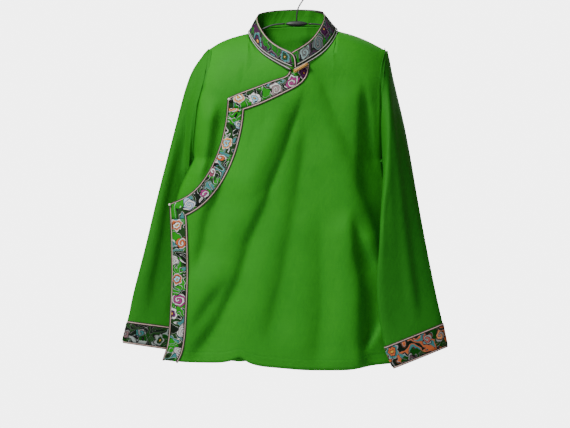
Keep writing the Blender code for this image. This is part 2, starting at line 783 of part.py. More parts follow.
def sleeve_grid(table, folds, armhole):
    """Rings down a sleeve. The first is the armhole's own edge."""
    indexed = [RingPlace(number, *row) for number, row in enumerate(table)]
    count = 2 * ARMHOLE_ROWS

    def ring_at(place):
        row = {key: float(smooth(indexed, "ring", key, place)) for key in table[0]._fields}
        points = np.empty((count, 3))
        for k in range(count):
            turn = 2 * math.pi * k / count
            side = (1 + math.cos(turn)) / 2
            width = math.hypot(row["outer_x"] - row["inner_x"], row["outer_drop"] - row["inner_drop"])
            bulge = -math.copysign(abs(math.sin(turn)) ** RING_POWER, math.sin(turn))
            push = 0.0
            for fold in folds:
                if (fold.turn0 < 180) != (0 < k < count / 2):
                    continue
                along = (place - fold.ring0) / (fold.ring1 - fold.ring0)
                ends = float(ease(along / FOLD_ENDS) * ease((1 - along) / FOLD_ENDS))
                here = fold.turn0 + (fold.turn1 - fold.turn0) * min(1.0, max(0.0, along))
                away = (math.cos(turn) - math.cos(math.radians(here))) * width / 2
                push += fold.depth * ends * math.exp(-((away / fold.wide) ** 2))
            inwards = 1.0 if math.sin(turn) > 0 else -1.0
            x = row["inner_x"] + (row["outer_x"] - row["inner_x"]) * side
            drop = row["inner_drop"] + (row["outer_drop"] - row["inner_drop"]) * side
            y = row["inner_y"] + (row["outer_y"] - row["inner_y"]) * side
            points[k] = (x, y + row["half_depth"] * bulge + inwards * push, -drop)
        return points

    places = np.concatenate([
        np.linspace(0, CUFF_START, SLEEVE_RINGS - CUFF_RINGS + 1),
        np.linspace(CUFF_START, len(table) - 1, CUFF_RINGS + 1)[1:],
    ])
    first = ring_at(0.0)
    rings = []
    for place in places:
        blend = 1 - float(ease(place / ARMHOLE_BLEND))
        rings.append(ring_at(place) + (armhole - first) * blend)
    grid = np.array(rings)
    return np.concatenate([grid, grid[:, :1]], axis=1)


def sleeve(side, grid, finishes, home):
    """A sleeve, its cuff's brocade laid on its last rings, and the cuff's two cords."""
    centres = grid[:, :-1].mean(axis=1)

    def axis(point):
        return centres[np.argmin(np.linalg.norm(centres - point, axis=1))]

    sewn = finishes["cloth"]
    cloth(f"sleeve_{side}", grid, axis, sewn, home, closed=True, outside=True)
    normals = surface_normals(grid, closed=True)
    grid = grid + normals * CLOTH
    cuff = (grid + normals * LAID_GAP)[-CUFF_RINGS - 1 :]
    down = unit(cuff[-1] - cuff[0])
    cuff[-1] -= down * CUFF_SHORT
    cloth(f"cuff_{side}", cuff, axis, finishes["brocade"], home, BROCADE, True, True)
    lift = PIPING_RADIUS + LAID_GAP
    upper = grid[-CUFF_RINGS - 1] + normals[-CUFF_RINGS - 1] * lift - down * (lift - 0.1)
    lower = grid[-1] + normals[-1] * 0.2 + down * lift
    cord(f"cuff_piping_upper_{side}", upper[:-1], PIPING_RADIUS, finishes["piping"], home, True)
    cord(f"cuff_piping_lower_{side}", lower[:-1], PIPING_RADIUS, finishes["piping"], home, True)


def collar(outer, under, back, finishes, home):
    """The standing collar's green stand, its brocade outer layer and three cords."""
    first_neck = SHOULDER_CELLS
    left = slice(first_neck, first_neck + NECK_QUARTER_CELLS + 1)
    over_back = slice(first_neck, first_neck + BACK_NECK_CELLS + 1)
    notch = SLANT_CELLS + 1
    right_end = outer.shape[1] - SHOULDER_CELLS
    start = outer[0, notch] + (outer[0, notch + 1] - outer[0, notch]) * COLLAR_START
    rows = []
    facings = [surface_normals(grid) for grid in (under, back, outer)]
    facings[2][0, notch] = facings[2][0, notch + 1]
    for of_under, of_back, of_outer in ((under, back, outer), facings):
        rows.append([
            *of_under[0, left][::-1],
            *of_back[0, over_back][1:-1],
            *of_outer[0, notch + 1 : right_end][::-1],
            of_outer[0, notch],
        ])
    base, low_facing = np.array(rows)
    base[-1] = start
    seam = base.copy()
    base[-2:, 1] += (LAYER_CLEARANCE / 2, LAYER_CLEARANCE)
    angles = [math.radians(a) for a in collar_angles()]
    top = np.empty_like(base)
    for k, turn in enumerate(angles):
        behind = abs(math.degrees(turn)) > 90
        back_side = abs(180 - abs(math.degrees(turn)))
        if behind:
            share = max(0.0, 1 - back_side / 90)
            climb = math.sin(math.pi / 2 * share) ** BACK_TOP_SQUARE
            drop = BACK_TOP_AT_SIDE + (BACK_TOP_MIDDLE - BACK_TOP_AT_SIDE) * climb
            y = -COLLAR_BACK * math.cos(turn)
        else:
            drop = float(smooth(NECK, "angle", "top_drop", abs(math.degrees(turn))))
            y = -COLLAR_FRONT * math.cos(turn)
        lean = NECK_TILT * math.sin(turn)
        top[k] = (COLLAR_X + COLLAR_HALF_WIDTH * math.sin(turn), y, lean - drop)
    top[:, 1] += (base[:, 1] + NECK_FRONT * np.cos(angles)) * (np.abs(angles) < math.pi / 2)
    rise = unit(top - base)
    tangent = unit(np.gradient(base, axis=0))
    facing = unit(np.cross(tangent, rise))
    outwards = (base - np.array([NECK_X, 0, 0])) * np.array([1, 1, 0])
    facing *= np.sign((facing * outwards).sum())
    band = (BAND_FROM, *BAND_LEVELS, BAND_TO)
    raised = base + rise * COLLAR_RAISED
    raised[0, 1] -= COLLAR_LAP
    top[0, 1] -= COLLAR_LAP

    def level_points(share):
        points = raised + (top - raised) * share
        points += facing * RING_BULGE * math.sin(math.pi * share)
        points[0, 0] += COLLAR_REACH * math.sqrt(max(0.0, 1 - (2 * share - 1) ** 4))
        return points

    def inside(point):
        return (NECK_X, -12.0, point[2] - 40.0)

    stand = np.array([level_points(s) for s in (0.0, *band, 1.0)])
    cloth("collar_stand", stand, inside, finishes["cloth"], home)
    lift = facing * LAID_GAP
    lift[0] *= FRONT_END_OUT
    laid = np.array([level_points(s) + lift for s in band])
    cloth("collar_brocade", laid, inside, finishes["brocade"], home, BROCADE, outside=True)
    out = PIPING_RADIUS + LAID_GAP
    between = unit(facing + low_facing)
    apart = (between * facing).sum(axis=1, keepdims=True)
    base_cord = seam + between * (out + BASE_CORD_OUT) / apart
    middle_share = BAND_FROM - out / np.linalg.norm(top - base, axis=1).mean()
    middle_cord = level_points(middle_share) + facing * out
    top_cord = top + rise * (out + SEAM_GAP) + facing * (BROCADE / 2)
    reach = np.array([out + SEAM_GAP, -BROCADE, 0.0])
    top_cord[0] += (SEAM_GAP, -BROCADE, 2 * SEAM_GAP)
    end = [level_points(share)[0] + reach for share in (FRONT_CORD_FROM, *band)]
    top_cord = np.concatenate([end, top_cord])
    base_cord[0, 1] -= COLLAR_LAP
    for points, cut in ((base_cord, BASE_CORD_CUT), (middle_cord, MIDDLE_CORD_CUT)):
        points[0] += unit(points[1] - points[0]) * cut * out
    for name, points in (("base", base_cord), ("middle", middle_cord), ("top", top_cord)):
        cord(f"collar_piping_{name}", points, PIPING_RADIUS, finishes["piping"], home)


def collar_angles():
    """The angle of each collar column: left end, round the back, right end."""
    left = list(np.linspace(-90, -FRONT_END, NECK_QUARTER_CELLS + 1))[::-1]
    behind = np.linspace(-90, 90, BACK_NECK_CELLS + 1)[1:-1]
    back = [-(180 + a) if a < 0 else 180 - a for a in behind]
    right = [*END_ANGLES, *np.linspace(END_ANGLES[-1], 90, NECK_QUARTER_CELLS - 1)[1:]]
    start = -FRONT_END + (END_ANGLES[0] + FRONT_END) * COLLAR_START
    return [*left, *back, *right[::-1], start]


def end_gap(strip, amount=SEAM_GAP):
    """A strip with its first line of points moved along it, to leave a seam's gap."""
    moved = strip.copy()
    moved[0] += unit(strip[1] - strip[0]) * amount
    return moved


def edging(outer, finishes, home):
    """The brocade strips along the front's border, and the cords beside them."""
    normals = surface_normals(outer)
    last = SLANT_CELLS + 1 + len(END_ANGLES)
    laid = outer + normals * LAID_GAP
    slant = laid[0:2, : last + 1].copy()
    collar_room = 2 * PIPING_RADIUS + 2 * LAID_GAP
    slant[0, SLANT_CELLS + 1 :] += unit(slant[1] - slant[0])[SLANT_CELLS + 1 :] * collar_room
    curve = end_gap(laid[1 : CORNER_ROW + 2, 0:2])
    side = end_gap(laid[CORNER_ROW + 1 :, 0:2])
    for name, strip in (("trim_slant", slant), ("trim_curve", curve), ("trim_side", side)):
        cloth(name, strip, middle_of_body, finishes["brocade"], home, BROCADE, outside=True)
    lift = PIPING_RADIUS + LAID_GAP
    outside = np.concatenate([outer[0, 1 : SLANT_CELLS + 2][::-1], outer[:, 0]])
    outside[0] += unit(outside[1] - outside[0]) * collar_room
    facing = np.concatenate([normals[0, 1 : SLANT_CELLS + 2][::-1], normals[:, 0]])
    along = unit(np.gradient(outside, axis=0))
    sideways = unit(np.cross(along, facing))
    reference = np.concatenate([outer[1, 1 : SLANT_CELLS + 2][::-1], outer[:, 1]])
    sideways *= -np.sign((sideways * (reference - outside)).sum(axis=1, keepdims=True))
    cord("edging_piping_outer", outside + sideways * lift + facing * 0.2, PIPING_RADIUS,
         finishes["piping"], home)
    inside = np.concatenate([outer[0:1, last], outer[1, 1 : last + 1][::-1], outer[2:, 1]])
    inside[0] += unit(inside[1] - inside[0]) * collar_room
    facing = np.concatenate([normals[0:1, last], normals[1, 1 : last + 1][::-1], normals[2:, 1]])
    along = unit(np.gradient(inside, axis=0))
    sideways = unit(np.cross(along, facing))
    reference = np.concatenate([outer[0:1, last - 1], outer[0, 1 : last + 1][::-1], outer[2:, 0]])
    sideways *= -np.sign((sideways * (reference - inside)).sum(axis=1, keepdims=True))
    cord("edging_piping_inner", inside + sideways * lift + facing * lift, PIPING_RADIUS,
         finishes["piping"], home)
    return normals


def closures(outer, normals, finishes, home):
    """Ball buttons at the edging's corner and at the side seam, and the loop at the neck."""
    lift = LAID_GAP + BROCADE + SEAM_GAP + BUTTON_RADIUS
    sizes = (BUTTON_RADIUS,) * 3
    for name, row in (("button_corner", 0), ("button_side", CORNER_ROW)):
        centre = outer[row, 0] + normals[row, 0] * lift
        ball(name, centre, sizes, finishes["pearl"], home)
    notch = SLANT_CELLS + 1
    start = outer[0, notch] + np.array([5.0, -NECK_LOOP_OUT, -3.0])
    end = outer[0, notch + 2] + np.array([0.0, -NECK_LOOP_OUT, -4.0])
    middle = (start + end) / 2
    loop = [start, (start + middle) / 2, middle, (middle + end) / 2, end]
    cord("neck_loop", loop, NECK_LOOP_RADIUS, finishes["loop"], home, sides=2)


def hanger(finishes, home):
    """The wire hook, the hub that holds it and the bar under the shoulders."""
    centre = np.array([0.0, 0.0, -HOOK_INSIDE_RADIUS])
    radius = HOOK_INSIDE_RADIUS + HOOK_WIRE_RADIUS
    wire = [(0.0, 0.0, -HUB_DROP + HUB_HALF_HEIGHT + 0.3), (0.0, 0.0, -HOOK_STEM_DROP)]
    for angle in np.linspace(HOOK_START_ANGLE, HOOK_END_ANGLE, HOOK_CELLS + 1):
        turn = math.radians(angle)
        wire.append(centre + radius * np.array([math.cos(turn), 0.0, math.sin(turn)]))
    here = np.zeros(3)
    cord("hanger_hook", wire, HOOK_WIRE_RADIUS, finishes["steel"], home, sides=2, offset=here)
    hub = (HUB_HALF_WIDTH, HUB_HALF_DEPTH, HUB_HALF_HEIGHT)
    ball("hanger_hub", (0.0, 0.0, -HUB_DROP), hub, finishes["plastic"], home, here)
    for side, sign in (("right", -1), ("left", 1)):
        arm = [(p.x, 0.0, -p.drop) for p in HANGER_ARM if p.x * sign > HUB_HALF_WIDTH]
        arm.append((sign * (HUB_HALF_WIDTH - SEAM_GAP), 0.0, -HUB_DROP))
        arm.sort(key=lambda place: place[0])
        bar = finishes["plastic"]
        cord(f"hanger_arm_{side}", arm, ARM_RADIUS, bar, home, sides=2, offset=here)


def clear_scene():
    """Removes whatever the scene holds."""
    for thing in list(bpy.data.objects):
        bpy.data.objects.remove(thing)


def main():
    """Builds every piece of the shirt and its hanger."""
    clear_scene()
    home = bpy.data.collections.new("shirt_on_hanger")
    bpy.context.scene.collection.children.link(home)
    finishes = {
        "cloth": material("green cloth", GREEN, 0.75),
        "brocade": material("brocade", BROCADE_TINT, 0.6),
        "piping": material("piping", PIPING_TINT, 0.6),
        "pearl": material("pearl", PEARL, 0.3),
        "loop": material("loop cord", LOOP_TINT, 0.5),
        "steel": material("steel wire", STEEL, 0.35, 1.0),
        "plastic": material("hanger plastic", HUB_TINT, 0.4),
    }
    outer, under, back = main_panels(finishes, home)
    left = sleeve_grid(LEFT_SLEEVE, LEFT_SLEEVE_FOLDS, armhole_ring(under, back, 0, -1))
    right = sleeve_grid(RIGHT_SLEEVE, RIGHT_SLEEVE_FOLDS, armhole_ring(outer, back, -1, 1))
    sleeve("right", left, finishes, home)
    sleeve("left", right, finishes, home)
    collar(outer, under, back, finishes, home)
    normals = edging(outer, finishes, home)
    closures(outer, normals, finishes, home)
    hanger(finishes, home)


main()
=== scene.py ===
"""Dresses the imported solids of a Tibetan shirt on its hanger: cloth, brocade, piping and closures."""

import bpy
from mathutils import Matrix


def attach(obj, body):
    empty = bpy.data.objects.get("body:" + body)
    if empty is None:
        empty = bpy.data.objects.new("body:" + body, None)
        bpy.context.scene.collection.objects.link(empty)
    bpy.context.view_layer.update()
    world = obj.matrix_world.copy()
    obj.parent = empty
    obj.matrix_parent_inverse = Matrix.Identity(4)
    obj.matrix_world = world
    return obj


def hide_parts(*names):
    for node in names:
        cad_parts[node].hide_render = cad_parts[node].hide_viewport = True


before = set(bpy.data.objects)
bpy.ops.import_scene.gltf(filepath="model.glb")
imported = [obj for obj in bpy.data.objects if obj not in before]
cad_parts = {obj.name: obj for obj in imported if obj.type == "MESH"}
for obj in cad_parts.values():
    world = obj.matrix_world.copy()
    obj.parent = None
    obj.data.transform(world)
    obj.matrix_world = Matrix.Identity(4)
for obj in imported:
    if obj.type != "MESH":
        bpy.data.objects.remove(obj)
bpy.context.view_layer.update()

from collections import namedtuple
from math import cos, pi, radians, sin, tau

import bmesh
import bpy
import numpy as np
from mathutils import Vector

bl_info = {
    "name": "Tibetan shirt",
    "version": (1, 0, 0),
    "blender": (4, 5, 0),
    "location": "3D View > Sidebar > Shirt",
    "description": "Cloth, brocade, piping, closures and hanger of a Tibetan shirt",
    "category": "Add Mesh",
}

MM = 0.001

# The width and the middle of the picture that the camera frames, in metres at the shirt.
PICTURE_WIDTH = 1.2255
PICTURE_CENTRE = (-0.025, -0.492)

# How far in front of the shirt the camera stands, and the floor's height and radius, in metres. The width
# of the camera's sensor is in millimetres.
CAMERA_DISTANCE = 8.0
SENSOR_WIDTH = 36.0
FLOOR_HEIGHT = -1.6
FLOOR_RADIUS = 5.0

# The shirt's tables are measured from a line at this x, left of the hook, and down from the hook, in
# millimetres.
LINE_X = -27.0

# Places in the picture are in pixels of this many millimetres. The line runs down this column, and the hook
# hangs from this row, above the picture's top.
PIXEL = 2.15
LINE_COLUMN = 284.0
HOOK_ROW = -15.0


# Sizes and colours


def colour(name, value, description):
    """A colour that the user can change."""
    return bpy.props.FloatVectorProperty(
        name=name, description=description, default=(*value, 1.0), subtype="COLOR", size=4, min=0.0, max=1.0
    )


def amount(name, value, description, low=0.0, high=1.0):
    """A plain number that the user can change."""
    return bpy.props.FloatProperty(name=name, description=description, default=value, min=low, max=high)


def length(name, value, description):
    """A length in metres that the user can change."""
    return bpy.props.FloatProperty(
        name=name, description=description, default=value, min=0.0, max=5.0, precision=5, unit="LENGTH"
    )


class ShirtCloth(bpy.types.PropertyGroup):
    dye: colour("Dye", (0.034, 0.294, 0.015), "Colour of the lit green cloth")
    dye_deep: colour("Deep dye", (0.027, 0.248, 0.012), "Colour of the cloth where the dye took deeper")
    thread: length("Thread spacing", 0.00055, "Distance from one thread to the next")
    relief: amount("Thread relief", 0.35, "How strongly the threads stand out")
    sheen: amount("Sheen", 0.0, "Soft shine of the fibres seen from the side")
    creases: amount("Creases", 1.0, "Depth of the fine folds, 1 as photographed", 0.0, 2.0)
    hem: length("Hem", 0.022, "Height of the row of stitches above the hem")
    stitch: length("Stitch", 0.0028, "Length of one stitch")


class ShirtTrim(bpy.types.PropertyGroup):
    leaf: colour("Leaf green", (0.010, 0.180, 0.007), "Bright green of the brocade's ground")
    green: amount("Green share", 0.475, "How much of the brocade's ground is bright green")
    cloud: colour("Cloud white", (0.78, 0.80, 0.77), "White of the clouds and petals")
    outline: colour("Outline", (0.003, 0.002, 0.003), "Dark thread round every figure")
    figure: length("Figure size", 0.038, "Distance from one flower or cloud to the next")
    piping: colour("Piping", (0.70, 0.50, 0.44), "Pale pink of the piping")
    # The tape beside each piping is partly a dark edging and partly painted shade: the shadow line along both
    # sides of the piping.
    shade_tape: colour("Tape", (0.020, 0.010, 0.010), "Dark tape that shows along both sides of the piping")
    base_piping: colour(
        "Collar base piping", (0.50, 0.52, 0.46), "Grey of the two pipings at the collar's foot"
    )


class ShirtStage(bpy.types.PropertyGroup):
    key: amount("Key light", 124.0, "Strength of the large light at the upper left", 0.0, 5000.0)
    fill: amount("Fill light", 10.0, "Strength of the weak light in front", 0.0, 1000.0)
    back: amount("Back light", 80.0, "Strength of the soft light behind the shirt", 0.0, 1000.0)
    ambient: amount("Ambient", 0.14, "Strength of the light from all round", 0.0, 5.0)
    backdrop: amount("Backdrop", 5.0, "How bright the pale surroundings look", 0.0, 50.0)
    floor: colour("Floor", (0.85, 0.85, 0.84), "Colour of the floor")


GROUPS = {"shirt_cloth": ShirtCloth, "shirt_trim": ShirtTrim, "shirt_stage": ShirtStage}


# Shader nodes


class Wiring:
    """Adds nodes to one tree and joins their sockets."""

    def __init__(self, tree):
        self.tree = tree

    def add(self, kind, inputs=None, **settings):
        """A new node with its settings, and a value or a link for each input named."""
        made = self.tree.nodes.new(kind)
        for setting, value in settings.items():
            setattr(made, setting, value)
        for socket, value in (inputs or {}).items():
            self.feed(made.inputs[socket], value)
        return made

    def feed(self, socket, value):
        """Links an output to a socket, or sets a plain value on it."""
        if isinstance(value, bpy.types.NodeSocket):
            self.tree.links.new(value, socket)
        else:
            socket.default_value = value

    def maths(self, operation, *values, clamp=False):
        """One step of arithmetic on numbers or outputs."""
        made = self.add("ShaderNodeMath", operation=operation, use_clamp=clamp)
        for socket, value in zip(made.inputs, values):
            self.feed(socket, value)
        return made.outputs[0]

    def mix(self, factor, first, second):
        """A colour between two others."""
        made = self.add("ShaderNodeMix", data_type="RGBA")
        colours = [socket for socket in made.inputs if socket.type == "RGBA"]
        self.feed(made.inputs[0], factor)
        self.feed(colours[0], first)
        self.feed(colours[1], second)
        return next(socket for socket in made.outputs if socket.type == "RGBA")

    def under(self, value, limit, soft):
        """1 where the value is below the limit, 0 above it, with a soft edge."""
        made = self.add("ShaderNodeMapRange", interpolation_type="SMOOTHSTEP")
        lower = self.maths("SUBTRACT", limit, soft)
        upper = self.maths("ADD", limit, soft)
        for socket, item in zip(("Value", "From Min", "From Max"), (value, lower, upper)):
            self.feed(made.inputs[socket], item)
        made.inputs["To Min"].default_value = 1.0
        made.inputs["To Max"].default_value = 0.0
        return made.outputs[0]

    def noise(self, vector, scale, detail=2.0, rough=0.5, distortion=0.0):
        """A noise value from 0 to 1."""
        inputs = {"Vector": vector, "Scale": scale, "Detail": detail, "Roughness": rough}
        inputs["Distortion"] = distortion
        return self.add("ShaderNodeTexNoise", inputs).outputs[0]

    def stretched(self, vector, x, y, z):
        """The vector with each part scaled on its own."""
        inputs = {0: vector, 1: (x, y, z)}
        return self.add("ShaderNodeVectorMath", inputs, operation="MULTIPLY").outputs[0]

    def parts(self, vector):
        """The x, y and z of a vector."""
        return self.add("ShaderNodeSeparateXYZ", {0: vector}).outputs


def group_tree(name, inputs, outputs):
    """An empty node group with named sockets: its wiring, its inputs and its outputs."""
    tree = bpy.data.node_groups.new(name, "ShaderNodeTree")
    kinds = {"value": "NodeSocketFloat", "colour": "NodeSocketColor", "vector": "NodeSocketVector"}
    for socket, kind in inputs:
        tree.interface.new_socket(socket, in_out="INPUT", socket_type=kinds[kind])
    for socket, kind in outputs:
        tree.interface.new_socket(socket, in_out="OUTPUT", socket_type=kinds[kind])
    wiring = Wiring(tree)
    source = tree.nodes.new("NodeGroupInput").outputs
    target = tree.nodes.new("NodeGroupOutput").inputs
    return wiring, source, target


# Half the width of the hem's thread and of the dent that it pulls into the cloth, in metres, and the share
# of each stitch that shows.
STITCH_HALF = 0.0005
DENT_HALF = 0.0016
STITCH_SHOWN = 0.72

# How often the yarn's thickness changes in a metre, from one thread to the next and along a thread.
YARN_ACROSS = 900
YARN_ALONG = 16


def woven_group(name):
    """Plain woven cloth: threads, uneven yarn, an uneven dye and a row of stitches above the hem, with
    painted shade in the dent that they pull.
    """
    inputs = [("Place", "vector"), ("Dye", "colour"), ("Deep dye", "colour"), ("Thread", "value")]
    inputs += [("Relief", "value"), ("Above hem", "value"), ("Hem", "value"), ("Stitch", "value")]
    outputs = [("Colour", "colour"), ("Roughness", "value"), ("Height", "value")]
    wire, source, target = group_tree(name, inputs, outputs)
    place = source["Place"]
    x, y, z = wire.parts(place)
    turns = wire.maths("DIVIDE", pi, source["Thread"])
    across = wire.maths("SINE", wire.maths("MULTIPLY", x, turns))
    inward = wire.maths("SINE", wire.maths("MULTIPLY", y, turns))
    upward = wire.maths("SINE", wire.maths("MULTIPLY", z, turns))
    threads = wire.maths("MULTIPLY", wire.maths("ADD", across, inward), upward)
    warp = wire.noise(wire.stretched(place, YARN_ACROSS, YARN_ACROSS, YARN_ALONG), 1.0)
    weft = wire.noise(wire.stretched(place, YARN_ALONG, YARN_ALONG, YARN_ACROSS), 1.0)
    yarn = wire.maths("ADD", warp, weft)
    patches = wire.noise(place, 9.0, 4.0, 0.6)
    cloudy = wire.noise(place, 45.0, 3.0, 0.6)
    depth = wire.maths("ADD", wire.maths("MULTIPLY", patches, 0.7), wire.maths("MULTIPLY", cloudy, 0.3))
    tint = wire.maths("ADD", depth, wire.maths("MULTIPLY", yarn, 0.28))
    tint = wire.maths("SUBTRACT", wire.maths("MULTIPLY", tint, 2.4), 1.42, clamp=True)
    dyed = wire.mix(tint, source["Deep dye"], source["Dye"])
    # The row of stitches, and the dent that its thread pulls into the cloth, darkened a little as painted
    # shade.
    from_row = wire.maths("ABSOLUTE", wire.maths("SUBTRACT", source["Above hem"], source["Hem"]))
    row = wire.under(from_row, STITCH_HALF, 0.0002)
    dent = wire.under(from_row, DENT_HALF, DENT_HALF)
    dash = wire.maths("FRACT", wire.maths("DIVIDE", wire.maths("ADD", x, y), source["Stitch"]))
    sewn = wire.maths("MULTIPLY", row, wire.under(dash, STITCH_SHOWN, 0.06))
    # The stitches take the deep dye, and the dent a little of it as painted shade.
    shaded = wire.maths("ADD", wire.maths("MULTIPLY", sewn, 0.45), wire.maths("MULTIPLY", dent, 0.06))
    wire.feed(target["Colour"], wire.mix(shaded, dyed, source["Deep dye"]))
    wire.feed(target["Roughness"], wire.maths("ADD", 0.60, wire.maths("MULTIPLY", cloudy, 0.16)))
    fine = wire.maths("ADD", wire.maths("MULTIPLY", threads, 0.05), wire.maths("MULTIPLY", yarn, 0.10))
    fine = wire.maths("MULTIPLY", fine, source["Relief"])
    folded = wire.under(source["Above hem"], source["Hem"], 0.0012)
    hem = wire.maths("SUBTRACT", wire.maths("MULTIPLY", sewn, 0.10), wire.maths("MULTIPLY", dent, 0.22))
    hem = wire.maths("ADD", hem, wire.maths("MULTIPLY", folded, 0.25))
    wire.feed(target["Height"], wire.maths("ADD", fine, hem))
    return wire.tree


# Colours of the brocade's silks.
PLUM = (0.12, 0.020, 0.12)
MAROON = (0.14, 0.012, 0.025)
ROSE = (0.42, 0.13, 0.13)
RUST = (0.55, 0.13, 0.04)
WHITE = (0.84, 0.86, 0.84)
TEAL = (0.05, 0.22, 0.22)
BLUE = (0.30, 0.62, 0.76)
ORANGE = (0.88, 0.38, 0.12)
MAGENTA = (0.42, 0.05, 0.26)
GREY = (0.30, 0.36, 0.34)
MOSS = (0.012, 0.055, 0.010)
BLACK = (0.004, 0.012, 0.005)
PURPLE = (0.055, 0.012, 0.050)
SLATE = (0.020, 0.055, 0.060)
HEART_GOLD = (0.70, 0.36, 0.06, 1.0)

# The silks by place: seven for the flowers and clouds, then four for the patches between them.
Silks = namedtuple("Silks", "figures patches")
SILKS = {
    "edging": Silks([PLUM, WHITE, RUST, BLUE, ORANGE, MAGENTA, MAROON], [BLACK, MOSS, BLACK, TEAL]),
    "collar": Silks([PURPLE, TEAL, PLUM, MOSS, PURPLE, SLATE, GREY], [BLACK, PURPLE, BLACK, SLATE]),
    "right cuff": Silks([TEAL, MAROON, GREY, MOSS, MAROON, TEAL, ROSE], [MOSS, BLACK, GREY, MOSS]),
    "left cuff": Silks([RUST, ORANGE, MAROON, TEAL, RUST, ROSE, ORANGE], [MAROON, RUST, TEAL, BLACK]),
}


def ramp(wire, value, colours):
    """Steps through a row of colours as the value goes from 0 to 1."""
    made = wire.add("ShaderNodeValToRGB", {0: value})
    made.color_ramp.interpolation = "CONSTANT"
    stops = made.color_ramp.elements
    for index, tint in enumerate(colours):
        stop = stops[index] if index < 2 else stops.new(index / len(colours))
        stop.position = index / len(colours)
        stop.color = (*tint, 1.0)
    return made.outputs[0]


# Fine lengths of the brocade, in metres: how far its lines wander, how far a cloud's curl goes out for each
# radian that it turns, the dark thread round a figure and its soft edge, the dark line along the ribbon's
# edges, partly a dark edging and partly painted shade beside the piping, a rib of its twill, and a thread
# of the piping's satin.
WANDER = 0.012
CURL = 0.00125
OUTLINE_THREAD = 0.0011
SOFT_EDGE = 0.0003
PIPING_SHADE_LINE = 0.0008
TWILL_RIB = 0.0008
SATIN_THREAD = 0.0007

# From one patch of the ground to the next, the silk moves on by this share of its row of colours, so that
# neighbours seldom match.
NEXT_SILK = 0.381966


